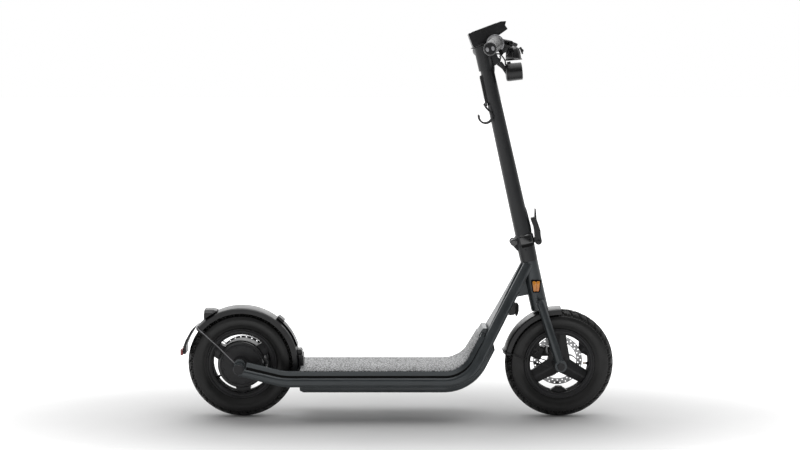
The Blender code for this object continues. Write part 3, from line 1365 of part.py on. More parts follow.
def front_fender():
    shell = fender_shell("front_fender", FRONT_WHEEL, FRONT_FENDER_R, radians(89), radians(170), 18)
    top = AXLE_Z + FRONT_FENDER_R
    low = AXLE_Z + FRONT_FENDER_R - FENDER_T - 0.001
    ends = [(FRONT_X - 0.036, low - 0.002), (FRONT_X + 0.001, low), (FRONT_X + 0.001, top - 0.005),
            (FRONT_X - 0.003, top - 0.0025), (FRONT_X - 0.031, top + 0.004), (FRONT_X - 0.034, top + 0.001)]
    nose = bevel(plate("fender_nose", ends, -0.029, 0.029, BLACK_PLASTIC), 0.0015)
    cut(nose, rod("nose_room", FRONT_FENDER_R - FENDER_T / 2, -0.05, 0.05, None, FRONT_WHEEL, sides=96))
    join(shell, nose)
    crown = rod("nose_crown", HEAD_R + PLAY, CROWN_LOW - GAP, CROWN_TOP, None, STEER, sides=48)
    return cut(shell, crown)


def stay(name, wheel_x, fender_r, angle, foot, knee):
    """U-shaped wire from one side of the axle, over the fender, to the other."""
    over = fender_r + STAY_R + GAP
    shoulder = fender_r - FENDER_CROWN + STAY_R + 0.001
    half = FENDER_HALF_W + STAY_R + 0.0012

    def around(radius, y):
        return (wheel_x + radius * cos(angle), y, AXLE_Z + radius * sin(angle))

    right = [foot, knee, around(shoulder - 0.012, -half), around(shoulder - 0.001, -half + 0.0008),
             around(shoulder + 0.0015, -half + 0.006), around(over - 0.0002, -half * 0.45)]
    right = [(x, -abs(y), z) for x, y, z in right]
    left = [(x, -y, z) for x, y, z in reversed(right)]
    return tube(name, [*right, around(over + 0.0004, 0.0), *left], STAY_R, CAST_BLACK, sides=1)


def tail_light():
    """Housing on the fender's rear crown, with the lens let into its back."""
    back = REAR_X - REAR_FENDER_R * TAIL_LEAN
    top = AXLE_Z + REAR_FENDER_R
    rings = []
    for ahead, shoulder, crown in ((0.0, 0.0205, 0.0100), (0.003, 0.0184, 0.0085), (0.024, 0.0184, 0.0085),
                                   (0.037, 0.0280, 0.0120)):
        half = [(0.034, top - 0.044), (0.034, top - shoulder), (0.022, top - crown - 0.0025),
                (0.009, top - crown)]
        ring = half + [(-y, z) for y, z in reversed(half)]
        rings.append([(back + ahead, y, z) for y, z in ring])
    housing = loft("tail_light_housing", rings, BLACK_PLASTIC)
    seat = rod("lamp_seat", REAR_FENDER_R + GAP, -0.05, 0.05, None, REAR_WHEEL, sides=96)
    low, high, deep, wide = top - 0.0325, top - 0.0215, 0.0025, 0.027
    pocket = block("lens_pocket", (back - 0.004, -wide, low), (back + deep, wide, high), None)
    cut(housing, seat, pocket)
    lens = block("tail_light_lens", (back - 0.0012, GAP - wide, low + GAP),
                 (back + deep - GAP, wide - GAP, high - GAP), RED)
    return housing, bevel(lens, 0.0008)


def plate_foot():
    """Side-view point of the rear fender that the plate holder grows from."""
    reach = REAR_FENDER_R + GAP
    return Vector((REAR_X + reach * cos(PLATE_ANGLE), AXLE_Z + reach * sin(PLATE_ANGLE)))


def plate_holder():
    """Arm below the tail lamp that carries the rear reflector."""
    foot = plate_foot()
    spread = radians(1.9)
    root = arc((REAR_X, AXLE_Z), REAR_FENDER_R + GAP, PLATE_ANGLE - spread, PLATE_ANGLE + spread, 3)
    arm = [(-0.0173, -0.02825), (-0.0258, -0.04925), (-0.0268, -0.07275), (-0.0338, -0.07525),
           (-0.0343, -0.05075), (-0.0278, -0.03325), (-0.0118, -0.00525), (-0.0008, 0.00625)]
    outline = [*root, *[(foot.x + x, foot.y + z) for x, z in arm]]
    return plate("plate_holder", outline, -0.024, 0.024, BLACK_PLASTIC)


def plate_reflector():
    foot = plate_foot()
    tile = block("plate_reflector", (REAR_X - REAR_REACH, -0.033, foot.y - 0.07625),
                 (foot.x - 0.0343 - GAP, 0.033, foot.y - 0.05825), RED)
    return bevel(tile, 0.0010)


def fold_catch():
    """Block and ribbed pad on the fender that the folded stem is strapped to."""
    center = (REAR_X, AXLE_Z)
    r = REAR_FENDER_R + GAP
    outline = [*arc(center, r, radians(17), radians(52.5), 12), *arc(center, r + 0.0075, radians(52),
                                                                     radians(45), 3), *arc(center,
                                                                                           r + 0.0018,
                                                                                           radians(44.5),
                                                                                           radians(17.5),
                                                                                           8)]
    return plate("fold_catch", outline, -0.020, 0.020, BLACK_PLASTIC)


# Brakes

def caliper(name, wheel_x, angle, face, outer_y, arm):
    """Caliper straddling the rotor, with an arm to what carries it."""
    reach = ROTOR_R - 0.006
    frame = Matrix.Translation((wheel_x, 0, AXLE_Z)) @ Matrix.Rotation(-angle, 4, 'Y')
    body = block(name, (reach - 0.018, face - 0.011, -0.019), (reach + 0.0155, outer_y, 0.019),
                 CAST_BLACK, frame)
    bevel(body, 0.003)
    reach_arm = plate(name + "_arm", arm, outer_y - 0.004, outer_y, CAST_BLACK)
    join(body, reach_arm)
    slot = rod(name + "_slot", ROTOR_R + PLAY, face - 0.0010, face + ROTOR_T + 0.0010, None,
               Matrix.Translation((wheel_x, 0, AXLE_Z)) @ ACROSS, sides=48)
    return cut(body, slot)


def front_caliper():
    face = FRONT_HUB_HALF_W + GAP
    outer = LEG_Y - LEG_FOOT_HALF_T - GAP
    arm = [(FRONT_X - 0.062, AXLE_Z + 0.040), (FRONT_X - 0.040, AXLE_Z + 0.046),
           (FRONT_X - 0.0100, AXLE_Z + 0.030), (FRONT_X - 0.0060, AXLE_Z + 0.012),
           (FRONT_X - 0.060, AXLE_Z + 0.010)]
    body = caliper("front_caliper", FRONT_X, radians(158), face, outer, arm)
    return body


def rear_caliper():
    face = DRUM_HALF_W + GAP
    inner_y = RAIL_Y - RAIL_W / 2
    arm = [(REAR_X + 0.026, AXLE_Z + 0.046), (REAR_X + 0.060, AXLE_Z + 0.048),
           (REAR_X + 0.072, AXLE_Z + 0.022), (REAR_X + 0.060, AXLE_Z + 0.012)]
    body = caliper("rear_caliper", REAR_X, radians(33), face, face + 0.018, arm)
    cut(body, rod("drum_room", DRUM_R + PLAY, 0.0, face, None, REAR_WHEEL, sides=48))
    foot = plate("caliper_foot", [(REAR_X + 0.062, AXLE_Z + 0.030), (REAR_X + 0.074, AXLE_Z + 0.026),
                                  (REAR_X + 0.094, AXLE_Z - 0.031), (REAR_X + 0.072, AXLE_Z - 0.029)],
                 face + 0.014, inner_y - GAP, CAST_BLACK)
    return join(body, foot)


# Kickstand

def kickstand():
    """Side stand, folded back along the left rail."""
    hub = Vector((STAND_X, STAND_Y, STAND_Z))
    rest = Vector((-1, 0, 0))
    ends = [-STAND_R * 0.99, -STAND_R * 0.7, 0.0, STAND_L - 0.016, STAND_L - 0.004, STAND_L]
    radii = [STAND_R * share for share in (0.14, 0.71, 1.0, 0.86, 0.95, 0.70)]
    leg = tube("kickstand", [hub + rest * end for end in ends], radii, CAST_BLACK, sides=3)
    hang(pivot("kickstand_axis", hub), leg)
    return leg


# Assembly

def build():
    for side, name in ((-1, "side_rail_right"), (1, "side_rail_left")):
        side_rail(name, side)
    head_tube()
    headset_bearing("headset_bearing_upper", HEAD_TOP - BEARING_H - 0.001)
    headset_bearing("headset_bearing_lower", CROWN_TOP + GAP + 0.001)
    down_tube_cover()
    side_reflector("side_reflector_right", -1)
    side_reflector("side_reflector_left", 1)
    battery_housing()
    battery_pack()
    motor_controller()
    deck_tray()
    deck_mat()
    charge_port()
    charge_port_cap()

    rear_axis = pivot("rear_wheel_axis", (REAR_X, 0, AXLE_Z))
    hang(rear_axis, tyre("rear_tyre", REAR_WHEEL), rear_rim(),
         rotor("rear_rotor", REAR_WHEEL, DRUM_HALF_W + GAP, 0.024))
    hub_motor_core()
    rear_fender()
    tail_light()
    plate_holder()
    plate_reflector()
    fold_catch()
    stay("rear_stay", REAR_X, REAR_FENDER_R, radians(139.7), (REAR_X - 0.0122,
                                                              RAIL_Y - RAIL_W / 2 - 0.003,
                                                              AXLE_Z + 0.0103),
         (REAR_X - 0.0686, 0.0510, AXLE_Z + 0.0582))
    rear_caliper()
    kickstand()

    front_axis = pivot("front_wheel_axis", (FRONT_X, 0, AXLE_Z))
    hang(front_axis, tyre("front_tyre", FRONT_WHEEL), front_rim(),
         rotor("front_rotor", FRONT_WHEEL, FRONT_HUB_HALF_W + GAP, 0.015))
    steer_axis = pivot("steering_axis", STEER_FOOT)
    front_set = [fork(), front_axle(), front_fender(), front_caliper(), hinge_block(), hinge_pin(),
                 stay("front_stay", FRONT_X, FRONT_FENDER_R, radians(167.3), (FRONT_X - 0.0180,
                                                                              LEG_Y - 0.004,
                                                                              AXLE_Z - 0.0080),
                      (FRONT_X - 0.0933, 0.0455, AXLE_Z + 0.0136))]
    hang(steer_axis, *front_set, front_axis)

    fold_axis = pivot("stem_fold_axis", STEER @ Vector((PIN_N, 0, PIN_S)))
    stem_set = [stem_tube(), clamp_collar(), stem_head(), display_housing(), handlebar(),
                grip("grip_right", -1), grip("grip_left", 1), brake_perch("brake_perch_right", -1),
                brake_perch("brake_perch_left", 1), bell(), headlight_bracket(), headlight_body(),
                headlight_lens(), hook_mount(), stem_cable(), brake_cable()]
    clamp_lever()
    brake_lever("brake_lever_right", -1)
    brake_lever("brake_lever_left", 1)
    throttle()
    bell_striker()
    bag_hook()
    carried = ["clamp_lever_axis", "brake_lever_right_axis", "brake_lever_left_axis", "throttle_axis",
               "bell_striker_axis", "bag_hook_axis"]
    hang(fold_axis, *stem_set, *[bpy.data.objects[name] for name in carried])
    hang(steer_axis, fold_axis)


build()
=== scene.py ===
import json
from math import atan2, cos, pi, radians, sin

import bmesh
import bpy
from mathutils import Matrix, Vector

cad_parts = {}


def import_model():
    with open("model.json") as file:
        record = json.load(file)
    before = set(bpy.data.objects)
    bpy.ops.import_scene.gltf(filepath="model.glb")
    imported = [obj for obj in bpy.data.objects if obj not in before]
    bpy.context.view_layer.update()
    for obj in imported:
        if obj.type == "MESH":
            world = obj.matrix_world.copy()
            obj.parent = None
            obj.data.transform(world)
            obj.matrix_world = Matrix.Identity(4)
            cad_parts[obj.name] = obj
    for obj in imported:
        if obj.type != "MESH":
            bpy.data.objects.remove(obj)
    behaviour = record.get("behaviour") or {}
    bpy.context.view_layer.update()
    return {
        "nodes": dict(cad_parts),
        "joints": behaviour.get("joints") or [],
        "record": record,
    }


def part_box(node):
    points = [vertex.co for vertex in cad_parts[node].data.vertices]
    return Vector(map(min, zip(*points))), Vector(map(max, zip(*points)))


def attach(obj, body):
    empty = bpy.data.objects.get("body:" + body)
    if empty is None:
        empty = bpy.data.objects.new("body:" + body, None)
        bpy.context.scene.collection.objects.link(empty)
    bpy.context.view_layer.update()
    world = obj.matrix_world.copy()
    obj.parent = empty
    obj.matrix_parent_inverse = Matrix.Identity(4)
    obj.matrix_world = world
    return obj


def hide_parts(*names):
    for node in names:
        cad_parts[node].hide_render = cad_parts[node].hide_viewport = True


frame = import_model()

JOINTS = {joint["name"]: joint for joint in frame["joints"]}
BODIES = frame["record"]["behaviour"]["bodies"]
BODY_OF = {node: body for body, members in BODIES.items() for node in members}
SLOT_OF = {part["node"]: part["material_slot"] for part in frame["record"]["subparts"]}

# Places worked out from the frame. Lengths are in metres, as in the whole script
AXLE = {end: Vector(JOINTS[end + "_wheel_spin"]["pos_m"]) for end in ("front", "rear")}
STEER_AT = Vector(JOINTS["steering"]["pos_m"])
UP = Vector(JOINTS["steering"]["axis"]).normalized()
AHEAD = Vector((UP.z, 0, -UP.x))
SIDE = Vector((0, 1, 0))
STEER = Matrix.Translation(STEER_AT) @ Matrix((AHEAD, SIDE, UP)).transposed().to_4x4()
ACROSS = Matrix.Rotation(radians(90), 4, "X")

# Tyres, with leans in degrees from the crown and rings as (radius, half width)
TYRE_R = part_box("front_tyre")[1].z / 2
TYRE_HALF_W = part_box("front_tyre")[1].y
SECTION_R = TYRE_HALF_W - 0.0004
BEAD_R = 0.1035
BEAD = ((BEAD_R + 0.0004, -0.0228), (BEAD_R - 0.0016, -0.0215))
CROWN_LEAN = 68
WALL_LEAN = 128
RINGS_FROM_LEAN = 76
WALL_RINGS = ((0.1150, 0.0014), (0.1305, 0.0012))
WALL_RING_RISE = 0.012

# Tread, with places across the tyre counted from its middle and spans as (first, last)
TREAD_BLOCKS = 36
STEPS_PER_BLOCK = 18
TREAD_DEPTH = 0.0036
TREAD_HALF_W = 0.0300
TREAD_FADE = (0.0318, 0.0360)
GROOVE_SLOPE = 0.0009
MIDDLE_SWAY = 0.0030
MIDDLE_HALF_W = 0.0011
FLANK_AT = 0.0120
FLANK_SWAY = 0.0026
FLANK_HALF_W = 0.0013
CROSS_SLANT = 0.034
CROSS_HALF_W = 0.0019
CROSS_START = (0.0120, 0.0135)
NOTCH_HALF_W = 0.0013
NOTCH_START = (0.0238, 0.0250)
SIPE_SLANT = 0.017
SIPE_HALF_W = 0.0003
SIPE_DEPTH = 0.5
SIPE_START = (0.0020, 0.0030)
SIPE_END = (0.0100, 0.0110)
SHOULDER_WIDTH = 0.0008
SHOULDER_DEPTH = 0.30

# Rims, rotors and valves
RIM_HALF_W = 0.026
RIM_INNER_R = 0.0865
# Half width of the matt black ring that paints the shade inside the rim
BARREL_SHADE_HALF_W = 0.0215
SPOKE_REACH = RIM_INNER_R + 0.003
SPOKE_HALF_T = 0.014
SPOKE_EDGE_T = 0.0065
RIDGE_SHARE = 0.12
HUB_R = 0.021
DRUM_BOLTS = 12
DRUM_BOLT_R = 0.0024
DRUM_BOLTS_AT_R = 0.0530
DRUM_BOLT_SINK = 0.0010
ROTOR_BAND = 0.017
ROTOR_BORE = {"front": 0.0215, "rear": 0.019}
ROTOR_ROOT = 0.0095
ROTOR_ARMS = 6
ARM_WIDTH = 0.085
ARM_SWEEP = 0.42
ARM_ROOT_WIDTH = 0.10
ROTOR_VENTS = 26
VENT_R = 0.0026
VENTS_FROM_OUTER = 0.0046
VENTS_FROM_INNER = 0.0050
ROTOR_BOLT_R = 0.0030
ROTOR_BOLTS_FROM_BORE = 0.005
ROTOR_BOLT_TURN = 0.2
VALVE_THREADS = 8
VALVE_THREAD = ((0.0024, 0.0092), (0.0028, 0.0096))
THREAD_PITCH = 0.0009

# Side rails: start, then (heading, length, radius of the bend after it) of each leg
RAIL_START = (AXLE["rear"].x, 0.150)
RAIL_LEGS = ((-0.24032, 0.10851, 0.180), (0.0, 0.44659, 0.107), (1.07861, 0.31586, None))
RAIL_LENGTH = 1.0296
RAIL_STEPS = 12
RAIL_HALF_GAP = 0.097
RAIL_HALF_H = 0.0125
RAIL_HALF_W = 0.013
FLAT_RISE = 0.002
BEND_RISE = 0.0015
END_NARROWING = 0.003
TAPER_START = 0.59836
TAPER_BLEND = 0.080
TAPER_SLOPE = 0.2019
FLAT_START = 0.1518
BEND_END = 0.7138
# Black strip along the rails' groove, which paints the shade in that deep narrow gap
GROOVE_SHADE_START = 0.018
GROOVE_SHADE_END = 0.783
GROOVE_SHADE_TOP = 0.0208
GROOVE_SHADE_SINK = 0.0045
GROOVE_SHADE_DROP = 0.004
GROOVE_SHADE_DROP_SPAN = (TAPER_START + 0.060, BEND_END + 0.020)
GROOVE_SHADE_SIDES = (-0.0080, -0.0050)

# Grips, from the inner end to the outer one, as (ahead, left, up) of the steering axis
GRIP_IN = Vector((0.027, 0.192, 0.9515))
GRIP_OUT = Vector((0.003, 0.320, 0.941))
GRIP_R = 0.0172
GRIP_FLANGE_R = 0.0215
GRIP_RIBS = 24
GRIP_RIB = ((0.0009, 0.0), (0.0009, 0.28), (0.0001, 0.42), (0.0, 0.70), (0.0002, 0.86))
END_LOBE = ((0.0, -0.001), (0.0066, -0.001), (0.0064, 0.0003), (0.0056, 0.0008), (0.0035, 0.0009),
            (0.0, 0.0009))
END_LOBE_OUT = 0.0078

# Headlight, bell and their neighbours
LEAD_R = 0.0020
HEADLIGHT_LEAN = 97.2
BELL_LEAN = 7.9
BELL_SIDE = -0.118

# Rear and front edge of the reflectors' lens, each from top to bottom, as (ahead, up) of the steering axis
LENS_REAR = Vector((-0.0051, 0.2566)), Vector((-0.0085, 0.2265))
LENS_FRONT = Vector((0.0169, 0.2516)), Vector((0.0069, 0.2230))
LENS_CORNER_R = 0.0036

# Stage
CAMERA_AT = (0.0077, -4.5, 1.038)
CAMERA_TILT = 84
CAMERA_LENS = 69.8
CAMERA_SENSOR = 36.0
FLOOR_SIZE = 40.0
FLOOR_DROP = -0.0002
# Ellipse over which the floor's glow fades out toward the scooter, painting a broad soft shadow round it
FADE_X = 2.2
FADE_Y = 1.0
FADE_FROM = 0.15
WORLD_FRONT = 0.06
WORLD_BACK = 0.80
WORLD_TURN = (-0.25, 0.45)
WORLD_TOP = 0.40
WORLD_TOP_FROM = 0.1
LAMPS = (
    ("overhead", (0.1, 0.1, 3.2), (0, 0, 0.3), (3.4, 2.0), 40),
    ("behind", (0.0, 3.6, 1.9), (0, 0, 0.4), (4.6, 1.8), 50),
    ("front_fill", (-1.8, -3.6, 2.4), (0, 0, 0.5), (2.4, 2.0), 7),
)


def upright(n, y, s):
    """Point ahead of the steering axis by n, to the left by y and up along it by s."""
    return STEER @ Vector((n, y, s))


def steered(n, y, s):
    """Frame there, with Z up along the steering axis."""
    return STEER @ Matrix.Translation((n, y, s))


def aim(start, toward):
    """Frame at start with its Z pointing toward."""
    direction = Vector(toward) - Vector(start)
    return Matrix.Translation(start) @ direction.to_track_quat("Z", "Y").to_matrix().to_4x4()


def turned_about(center):
    """Frame whose Z points across the scooter, to the right side."""
    return Matrix.Translation(center) @ ACROSS


def held(value, low, high):
    """Share of the way from low to high, kept between 0 and 1."""
    return min(1.0, max(0.0, (value - low) / (high - low)))


def step(value, low, high):
    """That share, eased at both ends."""
    part = held(value, low, high)
    return part * part * (3 - 2 * part)


# Finishes

PATCH_SPAN = (0.35, 0.65)
PATCH_DETAIL = 6.0
RELIEF_STRENGTH = 0.6


def node(tree, kind, inputs=(), **settings):
    made = tree.nodes.new(kind)
    for name, value in settings.items():
        setattr(made, name, value)
    for name, value in dict(inputs).items():
        if isinstance(value, bpy.types.NodeSocket):
            tree.links.new(value, made.inputs[name])
        else:
            made.inputs[name].default_value = value
    return made


def noisy(scale, detail=3.0):
    def build(tree, at):
        noise = node(tree, "ShaderNodeTexNoise", {"Vector": at, "Scale": scale, "Detail": detail})
        return noise.outputs["Fac"]
    return build


def celled(scale, feature="F1"):
    def build(tree, at):
        cells = node(tree, "ShaderNodeTexVoronoi", {"Vector": at, "Scale": scale}, feature=feature)
        return cells.outputs["Distance"]
    return build


def ramp(tree, fac, low, high, first, last):
    made = node(tree, "ShaderNodeValToRGB", {"Fac": fac})
    for element, place, color in zip(made.color_ramp.elements, (low, high), (first, last)):
        element.position = place
        element.color = (*color, 1)
    return made.outputs["Color"]


def spread(tree, value, first, last, low, high, **settings):
    """Value carried over from one span to another."""
    spans = {"Value": value, "From Min": first, "From Max": last, "To Min": low, "To Max": high}
    return node(tree, "ShaderNodeMapRange", spans, **settings).outputs["Result"]


def finish(name, dark, light, rough, patch=14.0, fine=noisy(700.0), share=0.35, relief=0.00005,
           stretch=(1, 1, 1), span=(0.38, 0.62), **fixed):
    """Finish whose colour and gloss wander on two scales, with a fine relief."""
    made = bpy.data.materials.new(name)
    made.use_nodes = True
    tree = made.node_tree
    shader = tree.nodes["Principled BSDF"]
    for socket, value in fixed.items():
        shader.inputs[socket.replace("_", " ")].default_value = value
    at = node(tree, "ShaderNodeTexCoord").outputs["Object"]
    at = node(tree, "ShaderNodeMapping", {"Vector": at, "Scale": stretch}).outputs["Vector"]
    slow = noisy(patch, PATCH_DETAIL)(tree, at)
    fast = fine(tree, at)
    part = node(tree, "ShaderNodeMath", {0: slow, 1: 1.0 - share}, operation="MULTIPLY").outputs[0]
    both = node(tree, "ShaderNodeMath", {0: fast, 1: share, 2: part}, operation="MULTIPLY_ADD").outputs[0]
    tree.links.new(ramp(tree, both, *span, dark, light), shader.inputs["Base Color"])
    tree.links.new(spread(tree, slow, *PATCH_SPAN, *rough), shader.inputs["Roughness"])
    bump = node(tree, "ShaderNodeBump", {"Height": fast, "Strength": RELIEF_STRENGTH, "Distance": relief})
    tree.links.new(bump.outputs["Normal"], shader.inputs["Normal"])
    return made


FINISHES = {
    "frame_paint": finish("frame_paint", (0.041, 0.048, 0.052), (0.056, 0.065, 0.070), (0.28, 0.38),
                          fine=noisy(1600.0), relief=0.00003, Metallic=0.25, Specular_IOR_Level=0.45,
                          Coat_Weight=0.15, Coat_Roughness=0.30),
    "stem_paint": finish("stem_paint", (0.014, 0.015, 0.017), (0.023, 0.024, 0.026), (0.34, 0.44),
                         fine=noisy(1600.0), relief=0.00003, Specular_IOR_Level=0.40),
    "black_plastic": finish("black_plastic", (0.005, 0.005, 0.006), (0.011, 0.011, 0.012), (0.28, 0.40),
                            fine=celled(900.0), relief=0.00006, Specular_IOR_Level=0.40),
    "rubber": finish("rubber", (0.010, 0.010, 0.011), (0.020, 0.020, 0.021), (0.60, 0.75),
                     fine=noisy(900.0), relief=0.00008, Specular_IOR_Level=0.30),
    "tyre_rubber": finish("tyre_rubber", (0.006, 0.006, 0.006), (0.012, 0.012, 0.012), (0.36, 0.48),
                          patch=30.0, fine=noisy(500.0), relief=0.00008, Specular_IOR_Level=0.42),
    "cast_black": finish("cast_black", (0.022, 0.022, 0.023), (0.038, 0.038, 0.040), (0.36, 0.46),
                         fine=noisy(1100.0), relief=0.00007, Specular_IOR_Level=0.28),
    "steel": finish("steel", (0.36, 0.36, 0.37), (0.56, 0.56, 0.57), (0.26, 0.40), patch=30.0,
                    fine=noisy(900.0), stretch=(1, 6, 1), relief=0.00003, Metallic=1.0),
    # Light grey cells of the mat are painted sheen, standing for the grazing reflection of the dark rubber;
    # the dark crack lines between them are its pattern
    "deck_mat": finish("deck_mat", (0.030, 0.031, 0.032), (0.235, 0.24, 0.245), (0.40, 0.58), patch=160.0,
                       fine=celled(130.0, "DISTANCE_TO_EDGE"), stretch=(1, 0.38, 0.6), share=1.0,
                       span=(0.04, 0.13), relief=0.0012),
    "orange_reflector": finish("orange_reflector", (1.00, 0.26, 0.010), (1.00, 0.44, 0.030), (0.12, 0.22),
                               fine=celled(520.0, "DISTANCE_TO_EDGE"), relief=0.0004, Coat_Weight=0.6),
    "red_lens": finish("red_lens", (0.24, 0.006, 0.006), (0.44, 0.014, 0.012), (0.12, 0.20),
                       fine=celled(420.0, "DISTANCE_TO_EDGE"), relief=0.0003, Coat_Weight=0.6),
    "lamp_lens": finish("lamp_lens", (0.75, 0.77, 0.79), (0.88, 0.90, 0.91), (0.04, 0.10), patch=40.0,
                        fine=celled(300.0), relief=0.00008, Transmission_Weight=0.85, IOR=1.5),
    "battery_wrap": finish("battery_wrap", (0.025, 0.08, 0.22), (0.05, 0.13, 0.32), (0.22, 0.34),
                           fine=noisy(120.0), relief=0.0004),
}
SCREEN = finish("screen_glass", (0.006, 0.007, 0.009), (0.010, 0.011, 0.013), (0.05, 0.10), relief=0.00001,
                Coat_Weight=0.8, Coat_Roughness=0.04)
SATIN = finish("satin_grey", (0.20, 0.20, 0.21), (0.32, 0.32, 0.33), (0.28, 0.40), patch=60.0,
               fine=noisy(1200.0), Metallic=0.6)
ROTOR_STEEL = finish("rotor_steel", (0.20, 0.20, 0.205), (0.34, 0.34, 0.345), (0.24, 0.38), patch=30.0,
                     fine=noisy(900.0), stretch=(1, 6, 1), relief=0.00003, Metallic=1.0)
GRIP = finish("grip_grey", (0.11, 0.11, 0.112), (0.16, 0.16, 0.163), (0.24, 0.34), patch=60.0,
              fine=noisy(400.0), relief=0.00001, Specular_IOR_Level=0.6)
POLISHED = finish("polished_black", (0.008, 0.008, 0.009), (0.016, 0.016, 0.017), (0.14, 0.22), patch=60.0,
                  fine=noisy(900.0), relief=0.00002, Specular_IOR_Level=0.8)
# Matt black rubber of the levers, throttle and reflector bezels; the same black paints the shade in the
# rail grooves, inside the rims and in the gap under the clamp bands
MATT_BLACK_AND_SHADE = finish("matt_black_and_painted_shade", (0.003, 0.003, 0.003), (0.006, 0.006, 0.006), (0.70, 0.85), fine=noisy(900.0),
              Specular_IOR_Level=0.15)
BRASS = finish("valve_brass", (0.42, 0.27, 0.09), (0.62, 0.43, 0.17), (0.28, 0.42), patch=120.0,
               fine=noisy(1500.0), Metallic=1.0)


# Making pieces

def show(name, data, body, slot, *stands_for, paint=None, angle=35):
    """Put a piece on its body, with its slot's finish and smooth faces."""
    made = bpy.data.objects.new(name, data)
    bpy.context.scene.collection.objects.link(made)
    data.materials.clear()
    data.materials.append(paint or FINISHES[slot])
    if isinstance(data, bpy.types.Mesh):
        data.shade_smooth()
        data.set_sharp_from_angle(angle=radians(angle))
    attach(made, body)
    if stands_for:
        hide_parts(*stands_for)
    return made


def mesh_of(name, bm):
    bmesh.ops.remove_doubles(bm, verts=bm.verts, dist=0.0000004)
    bmesh.ops.recalc_face_normals(bm, faces=bm.faces)
    made = bpy.data.meshes.new(name)
    bm.to_mesh(made)
    bm.free()
    return made


def shape(name, bm, body, slot, *stands_for, **look):
    """Piece made from a bmesh."""
    return show(name, mesh_of(name, bm), body, slot, *stands_for, **look)


def turned(name, place, profile, steps, body, slot, *stands_for, closed=False, **look):
    """Piece made by turning one profile."""
    bm = bmesh.new()
    lathe(bm, place, profile, steps, closed)
    return shape(name, bm, body, slot, *stands_for, **look)


def soften(made, width, angle):
    """Round over the edges that are sharper than an angle in degrees."""
    edge = made.modifiers.new("round_over", "BEVEL")
    edge.width = width
    edge.segments = 2
    edge.limit_method = "ANGLE"
    edge.angle_limit = radians(angle)
    edge.harden_normals = True


def band(bm, first, second, closed=True):
    """Faces between two rows of points."""
    count = len(first)
    for i in range(count if closed else count - 1):
        j = (i + 1) % count
        bm.faces.new((first[i], first[j], second[j], second[i]))


def wrap(bm, rings, closed=False):
    """Faces through rings of points that come round to the first one again."""
    rows = [[bm.verts.new(p) for p in ring] for ring in rings]
    for first, second in zip(rows, [*rows[1:], rows[0]]):
        band(bm, first, second, closed)


def loft(bm, rings):
    """Closed body through rings of points."""
    rows = [[bm.verts.new(p) for p in ring] for ring in rings]
    for first, second in zip(rows, rows[1:]):
        band(bm, first, second)
    bm.faces.new(rows[0])
    bm.faces.new(list(reversed(rows[-1])))


def ring_at(place, profile, around):
    """Places of (radius, along) points, turned about the frame's Z."""
    return [place @ Vector((r * cos(around), r * sin(around), z)) for r, z in profile]


def lathe(bm, place, profile, steps, closed=False):
    """Turn (radius, along) points about the frame's Z."""
    wrap(bm, [ring_at(place, profile, 2 * pi * i / steps) for i in range(steps)], closed)


def sector(bm, place, profile, first, last, steps=24):
    """Part of a turned ring, closed at both ends, between two angles in degrees."""
    angles = [radians(first + (last - first) * i / steps) for i in range(steps + 1)]
    loft(bm, [ring_at(place, profile, around) for around in angles])


def both_sides(profile):
    """Profile with its mirror image after it."""
    return [*profile, *[(r, -z) for r, z in reversed(profile)]]


def bolt(bm, place, radius, steps=24):
    """Domed head with a six-sided socket, standing on the frame's XY plane."""
    height = radius * 0.6
    key = radius * 0.5
    profile = [(radius * 0.96, 0.0), (radius, height * 0.35), (radius * 0.86, height * 0.85),
               (radius * 0.62, height), (key, height), (key, height * 0.35), (0.0, height * 0.30)]
    rings = []
    for i in range(steps):
        around = 2 * pi * i / steps
        bend = cos(pi / 6) / cos(around % (pi / 3) - pi / 6)
        rings.append(ring_at(place, [(r * bend if r <= key else r, z) for r, z in profile], around))
    wrap(bm, rings)


def bolts(name, body, slot, places):
    """One piece of all the bolt heads of a body, given as (frame, radius)."""
    bm = bmesh.new()
    for place, radius in places:
        bolt(bm, place, radius)
    shape(name, bm, body, slot, angle=30)


def rounded(corners, radius, steps=4):
    """Outline whose corners are cut round."""
    made = []
    places = [Vector(p) for p in corners]
    for i, at in enumerate(places):
        before = at + (places[i - 1] - at).normalized() * radius
        after = at + (places[(i + 1) % len(places)] - at).normalized() * radius
        for k in range(steps + 1):
            t = k / steps
            made.append(before * (1 - t) ** 2 + at * 2 * t * (1 - t) + after * t ** 2)
    return made


def rounded_box(first, last, half, radius):
    """Outline from first to last along x and half to each side of it."""
    return rounded([(first, -half), (last, -half), (last, half), (first, half)], radius)


def slab(bm, outline, low, high, soft, spot):
    """Flat body with soft edges. spot gives the place of (across, along, height)."""
    middle = sum(outline, Vector((0, 0))) / len(outline)
    rings = []
    for at, inset in ((low, soft), (low + soft * 0.3, soft * 0.3), (low + soft, 0.0), (high - soft, 0.0),
                      (high - soft * 0.3, soft * 0.3), (high, soft)):
        moved = [p + (middle - p).normalized() * inset for p in outline]
        rings.append([spot(p.x, p.y, at) for p in moved])
    loft(bm, rings)


def flat_piece(name, body, slot, outline, low, high, soft, spot=upright, **look):
    """Piece made of one slab."""
    bm = bmesh.new()
    slab(bm, outline, low, high, soft, spot)
    return shape(name, bm, body, slot, angle=30, **look)


def through(points, per_span=6):
    """Smooth points through the given ones."""
    places = [Vector(p) for p in points]
    padded = [2 * places[0] - places[1], *places, 2 * places[-1] - places[-2]]
    made = []
    for a, b, c, d in zip(padded, padded[1:], padded[2:], padded[3:]):
        for i in range(per_span):
            t = i / per_span
            made.append(0.5 * (2 * b + (c - a) * t + (2 * a - 5 * b + 4 * c - d) * t * t
                               + (3 * b - a - 3 * c + d) * t ** 3))
    return [*made, places[-1]]


